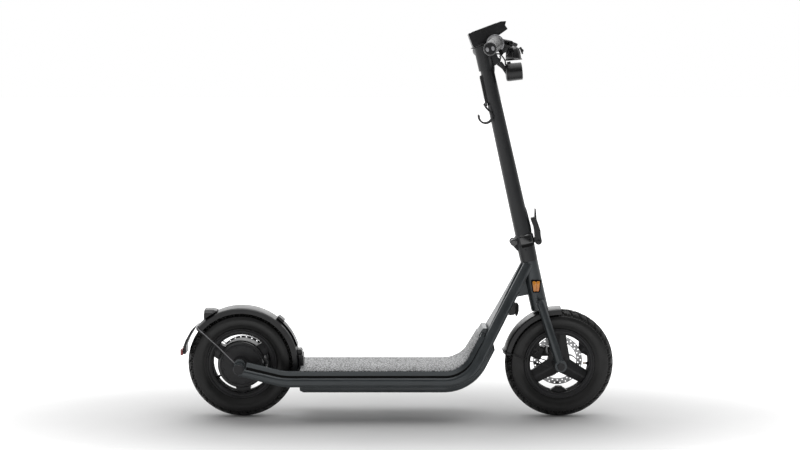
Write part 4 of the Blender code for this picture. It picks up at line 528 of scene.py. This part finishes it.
def cable(name, points, radius, body, slot):
    """Round lead through points given from the steering axis."""
    curve = bpy.data.curves.new(name, "CURVE")
    curve.dimensions = "3D"
    curve.bevel_depth = radius
    curve.bevel_resolution = 4
    curve.use_fill_caps = True
    line = curve.splines.new("POLY")
    places = through([upright(*point) for point in points])
    line.points.add(len(places) - 1)
    for point, place in zip(line.points, places):
        point.co = (*place, 1)
    show(name, curve, body, slot)


def circle(radius, count, center=(0.0, 0.0)):
    return [(center[0] + radius * cos(2 * pi * i / count),
             center[1] + radius * sin(2 * pi * i / count)) for i in range(count)]


def pierced(name, outline, holes, thick):
    """Mesh of a flat plate with holes in it, with a slight round on its edges."""
    curve = bpy.data.curves.new(name, "CURVE")
    curve.dimensions = "2D"
    curve.fill_mode = "BOTH"
    curve.bevel_depth = 0.00025
    curve.bevel_resolution = 1
    curve.extrude = thick / 2 - curve.bevel_depth
    for loop in (outline, *holes):
        line = curve.splines.new("POLY")
        line.points.add(len(loop) - 1)
        line.use_cyclic_u = True
        for point, (x, y) in zip(line.points, loop):
            point.co = (x, y, 0, 1)
    holder = bpy.data.objects.new(name + "_outline", curve)
    bpy.context.scene.collection.objects.link(holder)
    made = bpy.data.meshes.new_from_object(holder.evaluated_get(bpy.context.evaluated_depsgraph_get()))
    bpy.data.objects.remove(holder)
    made.name = name
    return made


# Solids carried over from the CAD

CRISP = {"rear_fender": 15, "front_fender": 15, "tail_light_housing": 20, "fork": 30}
OWN_PAINT = {
    "brake_lever_right": MATT_BLACK_AND_SHADE, "brake_lever_left": MATT_BLACK_AND_SHADE, "throttle": MATT_BLACK_AND_SHADE, "bell": POLISHED,
    "rear_stay": SATIN,
}
ROUND_OVER = {
    "fork": 0.0012, "head_tube": 0.0010, "down_tube_cover": 0.0012, "battery_housing": 0.0015,
    "deck_tray": 0.0010, "deck_mat": 0.0008, "charge_port": 0.0008, "charge_port_cap": 0.0008,
    "rear_fender": 0.0006, "front_fender": 0.0006, "tail_light_housing": 0.0012, "tail_light_lens": 0.0006,
    "plate_holder": 0.0008, "plate_reflector": 0.0010, "fold_catch": 0.0010, "rear_caliper": 0.0010,
    "front_caliper": 0.0010, "hinge_block": 0.0014, "clamp_collar": 0.0012, "clamp_lever": 0.0010,
    "stem_head": 0.0018, "display_housing": 0.0018, "brake_perch_right": 0.0010, "brake_perch_left": 0.0010,
    "brake_lever_right": 0.0012, "brake_lever_left": 0.0012, "throttle": 0.0008, "bell": 0.0006,
    "bell_striker": 0.0006, "headlight_bracket": 0.0010, "headlight_body": 0.0006, "hook_mount": 0.0008,
    "kickstand": 0.0010, "rear_stay": 0.0,
}


def refined(name, width, angle):
    """Copy of a solid with flat facets merged and hard edges rounded over."""
    bm = bmesh.new()
    bm.from_mesh(frame["nodes"][name].data)
    bmesh.ops.remove_doubles(bm, verts=bm.verts, dist=0.000002)
    bmesh.ops.dissolve_limit(bm, angle_limit=radians(0.6), verts=bm.verts, edges=bm.edges)
    made = shape(name + "_finished", bm, BODY_OF[name], SLOT_OF[name], name,
                 paint=OWN_PAINT.get(name), angle=angle)
    if width:
        soften(made, width, angle)


def dress_nodes():
    """Give every carried-over solid its finish, and round over the hard-edged ones."""
    for name, solid in frame["nodes"].items():
        for slot in solid.material_slots:
            slot.material = FINISHES[SLOT_OF[name]]
    for name, width in ROUND_OVER.items():
        refined(name, width, CRISP.get(name, 40))


# Tyres

def wave(turns):
    """Triangle wave between -1 and 1."""
    part = turns % 1.0
    return 4 * abs(part - 0.5) - 1


def groove(distance, half_w):
    """Depth share of a groove at a distance from its middle."""
    return 1 - step(abs(distance), half_w, half_w + GROOVE_SLOPE)


def to_nearest(phase, per_block):
    """Distance round the tyre to the nearest of the cuts that repeat in each block."""
    pitch = 2 * pi * TYRE_R / TREAD_BLOCKS
    return (phase % 1.0 - 0.5) * pitch / per_block


def tread(across, turns):
    """How far the tread is cut down there, of one."""
    wide = abs(across)
    side = 0.5 if across > 0 else 0.0
    phase = turns * TREAD_BLOCKS
    middle = groove(across - MIDDLE_SWAY * wave(phase), MIDDLE_HALF_W)
    flank = groove(wide - FLANK_AT - FLANK_SWAY * wave(phase + side), FLANK_HALF_W)
    cross = groove(to_nearest(phase + side + (wide - FLANK_AT) / CROSS_SLANT, 1), CROSS_HALF_W)
    cross *= step(wide, *CROSS_START)
    notch = groove(to_nearest(3 * phase + side, 3), NOTCH_HALF_W) * step(wide, *NOTCH_START)
    sipe = groove(to_nearest(2 * phase + side - wide / SIPE_SLANT, 2), SIPE_HALF_W)
    sipe *= SIPE_DEPTH * step(wide, *SIPE_START) * (1 - step(wide, *SIPE_END))
    shoulder = step(wide, TREAD_HALF_W, TREAD_HALF_W + SHOULDER_WIDTH) * SHOULDER_DEPTH
    return max(middle, flank, cross, notch, sipe, shoulder) * (1 - step(wide, *TREAD_FADE))


def tyre_section(turns, leans):
    """(Radius, across) points over the tyre, some turns round it."""
    section = [*reversed(BEAD)]
    for lean in leans:
        cut = TREAD_DEPTH * tread(SECTION_R * lean, turns)
        r = TYRE_R - TYRE_HALF_W + (TYRE_HALF_W - cut) * cos(lean)
        y = (SECTION_R - cut) * sin(lean)
        if abs(lean) > radians(RINGS_FROM_LEAN):
            ring = sum(max(0.0, 1 - abs(r - at) / half_w) for at, half_w in WALL_RINGS)
            y *= 1 + WALL_RING_RISE * min(1.0, ring)
        section.append((r, y))
    return section + [(r, -y) for r, y in BEAD]


def tyre(end):
    """Tyre with cut tread blocks, a scalloped shoulder and raised rings on its walls."""
    leans = [*range(-WALL_LEAN, -CROWN_LEAN, 6), *range(-CROWN_LEAN, CROWN_LEAN, 2),
             *range(CROWN_LEAN, WALL_LEAN + 1, 6)]
    leans = [radians(lean) for lean in leans]
    steps = TREAD_BLOCKS * STEPS_PER_BLOCK
    place = turned_about(AXLE[end])
    bm = bmesh.new()
    wrap(bm, [ring_at(place, tyre_section(i / steps, leans), 2 * pi * i / steps) for i in range(steps)])
    shape(end + "_tyre_tread", bm, end + "_wheel", "tyre_rubber", end + "_tyre", angle=50)


# Rims

def rim_ring(bm, place):
    """Rolled rim edges with the barrel between them, as steps out from a radius and down from the side."""
    lip = ((-0.006, 0.0050), (-0.0012, 0.0042), (-0.0002, 0.0022), (-0.0008, 0.0004), (-0.0026, 0.0),
           (-0.0046, 0.0010), (-0.0068, 0.0030))
    inside = ((0.0055, 0.0034), (0.0030, 0.0012), (0.0016, 0.0), (0.0004, 0.0006), (0.0, 0.0026))
    side = [(BEAD_R + out, RIM_HALF_W - down) for out, down in lip]
    side += [(RIM_INNER_R + out, RIM_HALF_W - down) for out, down in inside]
    lathe(bm, place, both_sides(side), 128, closed=True)


def spoke(bm, center, angle, stations, far=1.0):
    """Arm with a ridge along it, as (radius, half width, edge half depth, ridge half depth).

    far scales its depth on the scooter's left side.
    """
    turn = Matrix.Rotation(radians(angle), 2)
    rings = []
    for r, half, edge, ridge in stations:
        top = half * RIDGE_SHARE
        ring = [(-half, -edge), (-half, edge), (-top, ridge), (top, ridge),
                (half, edge), (half, -edge), (top, -ridge), (-top, -ridge)]
        points = []
        for across, depth in ring:
            x, z = turn @ Vector((r, across))
            points.append(center + Vector((x, depth * far if depth > 0 else depth, z)))
        rings.append(points)
    loft(bm, rings)


def front_rim():
    """Three ridged arms and three short lumps inside the rim."""
    place = turned_about(AXLE["front"])
    edge, ridge = SPOKE_EDGE_T, SPOKE_HALF_T
    upper = [(0.0, 0.0340, edge, ridge + 0.004), (0.022, 0.0300, edge, ridge + 0.003),
             (0.046, 0.0245, edge, ridge + 0.001), (0.070, 0.0190, edge, ridge),
             (SPOKE_REACH, 0.0165, edge + 0.003, ridge + 0.002)]
    lower = [(0.0, 0.0260, edge, ridge + 0.004), (0.030, 0.0235, edge, ridge + 0.002),
             (0.070, 0.0210, edge, ridge), (SPOKE_REACH, 0.0195, edge + 0.003, ridge + 0.002)]
    lump = [(0.0705, 0.0090, 0.005, 0.009), (0.0740, 0.0120, 0.007, 0.014),
            (0.0825, 0.0255, 0.009, 0.016), (SPOKE_REACH, 0.0275, 0.009, 0.017)]
    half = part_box("front_rim")[1].y
    hub = [(0.0075, half), (0.0150, half), (0.0168, half - 0.0015), (0.0172, half - 0.009),
           (HUB_R, half - 0.012)]
    bm = bmesh.new()
    rim_ring(bm, place)
    for angle, stations in ((88, upper), (210, lower), (330, lower), (30, lump), (150, lump), (270, lump)):
        spoke(bm, AXLE["front"], angle, stations)
    lathe(bm, place, both_sides(hub), 64, closed=True)
    made = shape("front_rim_cast", bm, "front_wheel", "cast_black", "front_rim", angle=12)
    soften(made, width=0.0007, angle=32)


def rear_rim(place, half):
    """Rim on short arms round the hub motor's drum, which has a raised edge."""
    drum = ((0.0095, 0.0020), (0.0170, 0.0020), (0.0185, 0.0030), (0.0230, 0.0030), (0.0245, 0.0006),
            (0.0400, 0.0002), (0.0565, 0.0010), (0.0580, 0.0022), (0.0595, 0.0010), (0.0630, 0.0012),
            (0.0668, 0.0042), (0.0685, 0.0085), (0.0690, 0.0120))
    point = [(0.058, 0.0215, 0.028, 0.034), (0.0775, 0.0205, 0.026, 0.032),
             (0.0875, 0.0040, 0.022, 0.027), (0.0880, 0.0030, 0.020, 0.024)]
    bm = bmesh.new()
    rim_ring(bm, place)
    for angle, half_w in ((34, 0.0185), (152, 0.0215)):
        arm = [(0.058, half_w, 0.022, 0.028), (0.070, half_w, 0.020, 0.026),
               (SPOKE_REACH, half_w - 0.001, 0.018, 0.022)]
        spoke(bm, AXLE["rear"], angle, arm, far=0.5)
    spoke(bm, AXLE["rear"], 273, point, far=0.4)
    lathe(bm, place, both_sides([(r, half - down) for r, down in drum]), 128, closed=True)
    made = shape("rear_rim_cast", bm, "rear_wheel", "cast_black", "rear_rim", angle=20)
    soften(made, width=0.0008, angle=32)


def drum_details(place, half):
    """Polished edges of the drum and the bolts of its covers."""
    shoulder = ((0.0616, 0.0030), (0.0626, 0.0009), (0.0652, 0.0019), (0.0678, 0.0040), (0.0692, 0.0074),
                (0.0698, 0.0120), (0.0616, 0.0120))
    bm = bmesh.new()
    for way in (-1, 1):
        lathe(bm, place, [(r, way * (half - down)) for r, down in shoulder], 128, closed=True)
    shape("drum_shoulders", bm, "rear_wheel", "cast_black", paint=POLISHED)
    places = []
    for side_y in (DRUM_BOLT_SINK - half, half - DRUM_BOLT_SINK):
        for i in range(DRUM_BOLTS):
            around = 2 * pi * (i + 0.5) / DRUM_BOLTS
            out = Vector((DRUM_BOLTS_AT_R * cos(around), side_y, DRUM_BOLTS_AT_R * sin(around)))
            seat = AXLE["rear"] + out
            places.append((aim(seat, seat + Vector((0, side_y, 0))), DRUM_BOLT_R))
    bolts("drum_bolts", "rear_wheel", "black_plastic", places)


def rim_barrel_shade(end):
    """Matt black ring over the rim's barrel, which paints the shade inside the rim."""
    inner, outer = RIM_INNER_R - 0.0006, RIM_INNER_R + 0.0012
    half = BARREL_SHADE_HALF_W
    shade_ring = [(inner, -half), (inner, half), (outer, half), (outer, -half)]
    turned(end + "_rim_barrel_shade", turned_about(AXLE[end]), shade_ring, 128, end + "_wheel", "cast_black",
           closed=True, paint=MATT_BLACK_AND_SHADE)


# Rotors and valves

def rotor_window(inner, root, first):
    """Opening between two swept arms, as (radius, angle) points."""
    last = first + 2 * pi / ROTOR_ARMS - ARM_WIDTH
    depth = inner - root
    lean = ARM_SWEEP + ARM_ROOT_WIDTH
    edge = [(inner, first + (last - first) * k / 15) for k in range(16)]
    foot = [(root, first - ARM_SWEEP + (last - ARM_ROOT_WIDTH - first) * k / 9) for k in range(10)]
    rise = [(inner - depth * k / 5, last - (lean * k / 5) * (1.4 - 0.4 * k / 5)) for k in range(1, 5)]
    fall = [(root + depth * k / 5, first - ARM_SWEEP + (ARM_SWEEP * k / 5) * (0.6 + 0.4 * k / 5))
            for k in range(1, 5)]
    return [*edge, *rise, *reversed(foot), *fall]


def rotor_holes(outer, bore):
    """Bore, windows and two staggered rows of vents."""
    inner = outer - ROTOR_BAND
    holes = [circle(bore, 48)]
    for i in range(ROTOR_ARMS):
        window = rotor_window(inner, bore + ROTOR_ROOT, 2 * pi * i / ROTOR_ARMS)
        holes.append([(r * cos(around), r * sin(around)) for r, around in window])
    for i in range(ROTOR_VENTS):
        for row, reach in enumerate((outer - VENTS_FROM_OUTER, inner + VENTS_FROM_INNER)):
            around = 2 * pi * i / ROTOR_VENTS + row * pi / ROTOR_VENTS
            holes.append(circle(VENT_R, 14, (reach * cos(around), reach * sin(around))))
    return holes


def rotor(end):
    """Drilled disc with swept arms, and its bolts."""
    low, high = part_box(f"{end}_rotor")
    center = AXLE[end]
    outer = (high.x - low.x) / 2
    bore = ROTOR_BORE[end]
    name = end + "_rotor_drilled"
    disc = pierced(name, circle(outer, 128), rotor_holes(outer, bore), high.y - low.y)
    place = Matrix.Translation(center) @ ACROSS.inverted()
    disc.transform(place @ Matrix.Translation((0, 0, (low.y + high.y) / 2)))
    show(name, disc, end + "_wheel", "steel", end + "_rotor", paint=ROTOR_STEEL, angle=50)
    reach = bore + ROTOR_BOLTS_FROM_BORE
    seats = []
    for i in range(ROTOR_ARMS):
        around = 2 * pi * (i + ROTOR_BOLT_TURN) / ROTOR_ARMS
        seat = center + Vector((reach * cos(around), high.y, reach * sin(around)))
        seats.append((aim(seat, seat + SIDE), ROTOR_BOLT_R))
    bolts(end + "_rotor_bolts", end + "_wheel", "steel", seats)


def valve(end, angle, paint, shorter=0.0):
    """Rubber stem out of the rim with a threaded tip, which shorter shrinks by that share."""
    out = Vector((cos(radians(angle)), 0, sin(radians(angle))))
    place = aim(AXLE[end] + out * (RIM_INNER_R + 0.002), AXLE[end])
    stem = [(0.0, -0.002), (0.0062, -0.002), (0.0060, 0.003), (0.0042, 0.005), (0.0036, 0.008),
            (0.0030, 0.0095), (0.0, 0.0095)]
    turned(end + "_valve_stem", place, stem, 24, end + "_wheel", "rubber")
    foot = VALVE_THREAD[0][1]
    threads = [(r, z + THREAD_PITCH * i) for i in range(VALVE_THREADS) for r, z in VALVE_THREAD]
    threads = [(r, z - shorter * (z - foot)) for r, z in threads]
    tip = threads[-1][1]
    threads += [(0.0024, tip + 0.0008), (0.0020, tip + 0.0018), (0.0, tip + 0.0018)]
    turned(end + "_valve_tip", place, threads, 24, end + "_wheel", "steel", paint=paint)


def wheels():
    for end in AXLE:
        tyre(end)
    front_rim()
    place, half = turned_about(AXLE["rear"]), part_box("rear_rim")[1].y
    rear_rim(place, half)
    drum_details(place, half)
    for end in AXLE:
        rim_barrel_shade(end)
    for end in AXLE:
        rotor(end)
    valve("front", -2, BRASS)
    valve("rear", 211, FINISHES["rubber"], shorter=0.5)


# Handlebar

def grip_ends(side):
    """Inner and outer end of a grip's middle line."""
    return [upright(at.x, side * at.y, at.z) for at in (GRIP_IN, GRIP_OUT)]


def grip_profile(long):
    """Flange, ribs and outer rim of a grip, as (radius, along) points."""
    first, last = 0.010, long - 0.010
    pitch = (last - first) / GRIP_RIBS
    profile = [(0.0130, -0.0045), (GRIP_FLANGE_R - 0.001, -0.0045), (GRIP_FLANGE_R, -0.0030),
               (GRIP_FLANGE_R, 0.0010), (GRIP_FLANGE_R - 0.0010, 0.0025), (GRIP_R, 0.0050)]
    for i in range(GRIP_RIBS):
        at = first + pitch * i
        profile += [(GRIP_R - down, at + pitch * share) for down, share in GRIP_RIB]
    return [*profile, (GRIP_R, last), (GRIP_R + 0.0010, long - 0.006), (GRIP_R + 0.0012, long - 0.002),
            (GRIP_R, long - 0.0004), (GRIP_R - 0.0015, long - 0.0002), (GRIP_R - 0.0022, long - 0.0012),
            (0.0, long - 0.0012)]


def grip(name, side):
    """Ribbed sleeve with a flange, and an end disc with two lobes."""
    inner, outer = grip_ends(side)
    along = aim(inner, outer)
    long = (outer - inner).length - 0.0012
    turned(name + "_ribbed", along, grip_profile(long), 64, "stem", "rubber", name, paint=GRIP, angle=50)
    disc = [(0.0, long - 0.0020), (GRIP_R - 0.0016, long - 0.0020), (GRIP_R - 0.0020, long - 0.0004),
            (GRIP_R - 0.0035, long - 0.0001), (0.0, long - 0.0001)]
    turned(name + "_end_disc", along, disc, 64, "stem", "rubber")
    flat = along.to_3x3().inverted() @ AHEAD
    level = along @ Matrix.Rotation(atan2(flat.y, flat.x), 4, "Z")
    oval = Matrix.Diagonal((0.72, 1.05, 1.0, 1.0))
    bm = bmesh.new()
    for way in (-1, 1):
        lathe(bm, level @ Matrix.Translation((way * END_LOBE_OUT, 0, long - 0.0006)) @ oval, END_LOBE, 32)
    shape(name + "_end_lobes", bm, "stem", "steel", paint=SATIN)


def display():
    """Thin lip under the display, and the dark glass on its sloping top."""
    flat_piece("display_lip", "stem", "black_plastic", rounded_box(-0.0312, 0.0120, 0.0354, 0.004),
               low=0.9508, high=0.9548, soft=0.0008)
    slope = atan2(0.0127, 0.0929)
    place = steered(-0.0294, 0, 0.9965) @ Matrix.Rotation(-slope, 4, "Y")
    flat_piece("display_glass", "stem", "black_plastic", rounded_box(0.007, 0.084, 0.0285, 0.005),
               low=-0.0006, high=0.0006, soft=0.0004, spot=lambda n, y, h: place @ Vector((n, y, h)),
               paint=SCREEN)


def headlight():
    """Rounded back, button and lead of the headlight, and the lead at the stem's foot."""
    place = steered(0.057, 0, 0.8625) @ Matrix.Rotation(radians(HEADLIGHT_LEAN), 4, "Y")
    back = [(0.0, -0.0060), (0.0205, -0.0060), (0.0240, -0.0048), (0.0254, -0.0020), (0.0258, 0.0040),
            (0.0259, 0.0100), (0.0, 0.0100)]
    turned("headlight_back", place, back, 64, "stem", "black_plastic")
    flat_piece("headlight_button", "stem", "rubber", rounded_box(0.060, 0.071, 0.006, 0.003),
               low=0.883, high=0.892, soft=0.0012)
    cable("headlight_lead", [(0.036, -0.028, 0.922), (0.044, -0.022, 0.919), (0.052, -0.014, 0.908),
                             (0.056, -0.006, 0.896), (0.055, 0.0, 0.886)], LEAD_R, "stem", "rubber")
    cable("stem_lower_lead", [(0.0200, 0, 0.474), (0.0230, 0, 0.462), (0.0243, 0, 0.430),
                              (0.0246, 0, 0.405), (0.0225, 0, 0.391)], LEAD_R, "stem", "rubber")


def bell_details():
    """Flared rim and dome of the bell, its bracket and the knob of its striker."""
    rim = [(0.0222, 0.0), (0.0246, 0.0002), (0.0254, 0.0014), (0.0247, 0.0032), (0.0225, 0.0050),
           (0.0214, 0.0032)]
    dome = [(0.0, 0.0045), (0.0218, 0.0045), (0.0220, 0.0080), (0.0214, 0.0150), (0.0205, 0.0210),
            (0.0186, 0.0285), (0.0160, 0.0340), (0.0115, 0.0374), (0.0050, 0.0388), (0.0, 0.0390)]
    bracket = [(0.036, 0.958), (0.058, 0.955), (0.071, 0.944), (0.071, 0.932), (0.062, 0.921),
               (0.045, 0.920), (0.036, 0.930)]
    knob = [(0.0, -0.0040), (0.0026, -0.0038), (0.0034, -0.0024), (0.0046, -0.0010), (0.0048, 0.0008),
            (0.0040, 0.0028), (0.0022, 0.0040), (0.0, 0.0044)]
    place = steered(0.0725, BELL_SIDE, 0.8945) @ Matrix.Rotation(radians(BELL_LEAN), 4, "Y")
    bm = bmesh.new()
    lathe(bm, place, rim, 64, closed=True)
    lathe(bm, place, dome, 64)
    shape("bell_dome", bm, "stem", "cast_black", paint=POLISHED)
    flat_piece("bell_bracket", "stem", "black_plastic", rounded(bracket, 0.003),
               low=-0.126, high=-0.110, soft=0.0015, spot=lambda n, s, y: upright(n, y, s))
    seat = steered(0.1015, BELL_SIDE, 0.9158) @ Matrix.Rotation(radians(90), 4, "Y")
    turned("striker_knob", seat, knob, 32, "striker", "cast_black")


def throttle_ring():
    """Polished lip round the bar, at the inner face of the right grip."""
    lip = [(0.0215, -0.0062), (0.0240, -0.0062), (0.0248, -0.0054), (0.0240, -0.0046), (0.0215, -0.0046)]
    turned("throttle_ring", aim(*grip_ends(-1)), lip, 64, "stem", "steel", closed=True, paint=SATIN)


# Fold joint

def clamp_bands():
    """Clamp band over a black ring on each side of the fold joint; the black ring paints the shade of the
    gap under the band.
    """
    # Black ring that paints the shade of the gap under the clamp band
    under_band_shade = [(0.0262, 0.3572), (0.0281, 0.3574), (0.0284, 0.3580), (0.0284, 0.3655), (0.0262, 0.3660)]
    clamp = [(0.0262, 0.3668), (0.0282, 0.3668), (0.0289, 0.3676), (0.0291, 0.3700), (0.0291, 0.3870),
             (0.0286, 0.3895), (0.0272, 0.3920), (0.0250, 0.3934), (0.0243, 0.3900)]
    for name, profile, slot, paint in (("hinge_gap_shade", under_band_shade, "rubber", MATT_BLACK_AND_SHADE),
                                       ("clamp_band", clamp, "cast_black", POLISHED)):
        bm = bmesh.new()
        for first, last in ((28, 118), (-118, -28)):
            sector(bm, STEER, profile, first, last)
        shape(name, bm, "stem", slot, paint=paint, angle=40)


def hinge_pin_heads():
    """Polished heads of the hinge pin, dished in the middle."""
    head = [(0.0, 0.0), (0.0098, 0.0), (0.0100, 0.0008), (0.0094, 0.0022), (0.0064, 0.0024),
            (0.0060, 0.0014), (0.0, 0.0014)]
    bm = bmesh.new()
    for side in (-1, 1):
        start = upright(-0.033, side * 0.0205, 0.378)
        lathe(bm, aim(start, start + SIDE * side), head, 32)
    shape("hinge_pin_heads", bm, "front_fork", "steel", paint=POLISHED)


def joint_screws():
    """Screws of the clamp lever, the hinge and the hook's mount."""
    for name, body, (n, y, s), radius in (
            ("lever_screws", "quick_release", (0.0385, 0.0118, 0.3645), 0.0055),
            ("hinge_screws", "front_fork", (-0.0040, 0.0257, 0.3500), 0.0024)):
        bolts(name, body, "black_plastic",
              [(aim(upright(n, side * y, s), upright(n, 3 * side * y, s)), radius) for side in (-1, 1)])
    bolts("hook_screws", "stem", "black_plastic",
          [(aim(upright(-0.0238, 0, s), upright(-0.06, 0, s)), 0.0034) for s in (0.7968, 0.8617)])


# Side rails and reflectors

def rail_line():
    """Distance, side-view point and heading at stations along the rails' centre line."""
    at, s = Vector(RAIL_START), 0.0
    for index, (heading, length, radius) in enumerate(RAIL_LEGS):
        ahead = Vector((cos(heading), sin(heading)))
        for i in range(RAIL_STEPS + 1):
            yield s + length * i / RAIL_STEPS, at + ahead * length * i / RAIL_STEPS, heading
        at, s = at + ahead * length, s + length
        if not radius:
            return
        turn = RAIL_LEGS[index + 1][0] - heading
        center = at + Vector((-ahead.y, ahead.x)) * radius
        for i in range(1, RAIL_STEPS + 1):
            now = heading + turn * i / RAIL_STEPS
            at = center + Vector((sin(now), -cos(now))) * radius
            if i < RAIL_STEPS:
                yield s + radius * turn * i / RAIL_STEPS, at, now
        s += radius * turn


def rail_half_gap(s):
    """Half the spacing of the rails' centre lines, which close in from the front bend on."""
    past = s - TAPER_START
    if past <= TAPER_BLEND:
        return RAIL_HALF_GAP - TAPER_SLOPE * max(past, 0.0) ** 2 / (2 * TAPER_BLEND)
    return RAIL_HALF_GAP - TAPER_SLOPE * (past - TAPER_BLEND / 2)


def rail_groove_shade(name, side):
    """Black strip in the groove between a side rail and the flat band above it, which paints the shade in
    that deep gap.
    """
    inner, outer = GROOVE_SHADE_SIDES
    rings = []
    for s, point, heading in rail_line():
        if not GROOVE_SHADE_START < s < GROOVE_SHADE_END:
            continue
        half_h = (RAIL_HALF_H + FLAT_RISE * held(s, 0.0, FLAT_START)
                  + BEND_RISE * held(s, TAPER_START, BEND_END))
        half_w = RAIL_HALF_W - END_NARROWING * held(s, TAPER_START, RAIL_LENGTH)
        foot = half_h - GROOVE_SHADE_SINK
        top = GROOVE_SHADE_TOP - GROOVE_SHADE_DROP * held(s, *GROOVE_SHADE_DROP_SPAN)
        up = Vector((-sin(heading), cos(heading)))
        ring = []
        for sideways, upward in ((inner, foot), (outer, foot), (outer, top), (inner, top)):
            spot = point + up * upward
            ring.append((spot.x, side * (rail_half_gap(s) + half_w + sideways), spot.y))
        rings.append(ring)
    bm = bmesh.new()
    loft(bm, rings)
    shape(name, bm, "frame", "rubber", paint=MATT_BLACK_AND_SHADE, angle=30)


def lens_plate(bm, side, span, margin, low, high, soft):
    """Plate over a span of the reflector's width, with a margin above and below."""
    first, last = span
    corners = []
    for across, along in ((first, -margin), (last, -margin), (last, 1 + margin), (first, 1 + margin)):
        top, bottom = (rear.lerp(front, across) for rear, front in zip(LENS_REAR, LENS_FRONT))
        corners.append(top.lerp(bottom, along))
    slab(bm, rounded(corners, LENS_CORNER_R), low, high, soft, lambda n, s, y: upright(n, side * y, s))


def reflector(name, side):
    """Dark bezel and two lobes of orange lens with a ridge between them."""
    bm = bmesh.new()
    lens_plate(bm, side, span=(-0.17, 1.17), margin=0.11, low=0.0240, high=0.0300, soft=0.0008)
    shape(name + "_bezel", bm, "frame", "black_plastic", name, paint=MATT_BLACK_AND_SHADE, angle=30)
    bm = bmesh.new()
    for span in ((0.0, 0.49), (0.51, 1.0)):
        lens_plate(bm, side, span, margin=0.0, low=0.0290, high=0.0314, soft=0.0011)
    shape(name + "_lens", bm, "frame", "orange_reflector", angle=60)


# Stage, light and camera

def seen_share(tree):
    """One for camera, glossy and transmission rays."""
    path = node(tree, "ShaderNodeLightPath").outputs
    first = node(tree, "ShaderNodeMath", {0: path["Is Camera Ray"], 1: path["Is Glossy Ray"]},
                 operation="MAXIMUM").outputs[0]
    return node(tree, "ShaderNodeMath", {0: first, 1: path["Is Transmission Ray"]},
                operation="MAXIMUM").outputs[0]


def floor():
    """Pale floor fading to white away from the scooter; near it the glow fades out, which paints a broad
    soft shadow round the scooter over its real shadow.
    """
    bm = bmesh.new()
    bmesh.ops.create_grid(bm, x_segments=8, y_segments=8, size=FLOOR_SIZE)
    made = bpy.data.objects.new("floor", mesh_of("floor", bm))
    bpy.context.scene.collection.objects.link(made)
    made.location.z = FLOOR_DROP
    paint = finish("pale_floor", (0.58, 0.58, 0.58), (0.61, 0.61, 0.61), (0.85, 0.95), patch=3.0,
                   relief=0.00001, Specular_IOR_Level=0.0)
    tree = paint.node_tree
    shader = tree.nodes["Principled BSDF"]
    shader.inputs["Emission Color"].default_value = (1, 1, 1, 1)
    at = node(tree, "ShaderNodeTexCoord").outputs["Object"]
    scale = (1 / FADE_X, 1 / FADE_Y, 0)
    flat = node(tree, "ShaderNodeVectorMath", {0: at, 1: scale}, operation="MULTIPLY").outputs[0]
    reach = node(tree, "ShaderNodeVectorMath", {0: flat}, operation="LENGTH").outputs["Value"]
    # No glow near the scooter: this paints a broad soft shadow round it
    far = spread(tree, reach, FADE_FROM, 1.0, 0.0, 1.0, interpolation_type="SMOOTHSTEP")
    glow = node(tree, "ShaderNodeMath", {0: seen_share(tree), 1: far}, operation="MULTIPLY").outputs[0]
    tree.links.new(glow, shader.inputs["Emission Strength"])
    made.data.materials.append(paint)


def world():
    """White to the camera, and a studio that is brighter above and behind the scooter than in front."""
    made = bpy.data.worlds.new("studio")
    bpy.context.scene.world = made
    made.use_nodes = True
    tree = made.node_tree
    way = node(tree, "ShaderNodeTexCoord").outputs["Generated"]
    split = node(tree, "ShaderNodeSeparateXYZ", {0: way}).outputs
    behind = spread(tree, split["Y"], *WORLD_TURN, WORLD_FRONT, WORLD_BACK, interpolation_type="SMOOTHSTEP")
    above = spread(tree, split["Z"], WORLD_TOP_FROM, 1.0, 0.0, WORLD_TOP)
    lit = node(tree, "ShaderNodeMath", {0: behind, 1: above}, operation="ADD").outputs[0]
    seen = node(tree, "ShaderNodeLightPath").outputs["Is Camera Ray"]
    strength = node(tree, "ShaderNodeMix", {0: seen, 2: lit, 3: 1.0}, data_type="FLOAT").outputs[0]
    shown = tree.nodes["Background"]
    shown.inputs["Color"].default_value = (1, 1, 1, 1)
    tree.links.new(strength, shown.inputs["Strength"])


def lamp(name, place, toward, size, power):
    light = bpy.data.lights.new(name, "AREA")
    light.shape = "RECTANGLE"
    light.size, light.size_y = size
    light.energy = power
    made = bpy.data.objects.new(name, light)
    bpy.context.scene.collection.objects.link(made)
    made.location = place
    made.rotation_euler = (Vector(toward) - Vector(place)).to_track_quat("-Z", "Y").to_euler()
    made.visible_camera = False


def camera():
    lens = bpy.data.cameras.new("view")
    lens.lens = CAMERA_LENS
    lens.sensor_width = CAMERA_SENSOR
    made = bpy.data.objects.new("view", lens)
    bpy.context.scene.collection.objects.link(made)
    made.location = CAMERA_AT
    made.rotation_euler = (radians(CAMERA_TILT), 0, 0)
    bpy.context.scene.camera = made


def stage():
    bpy.context.scene.view_settings.view_transform = "Standard"
    camera()
    world()
    floor()
    for settings in LAMPS:
        lamp(*settings)


stage()
dress_nodes()
wheels()
grip("grip_right", -1)
grip("grip_left", 1)
display()
headlight()
bell_details()
throttle_ring()
rail_groove_shade("rail_seam_right", -1)
rail_groove_shade("rail_seam_left", 1)
clamp_bands()
hinge_pin_heads()
joint_screws()
reflector("side_reflector_right", -1)
reflector("side_reflector_left", 1)
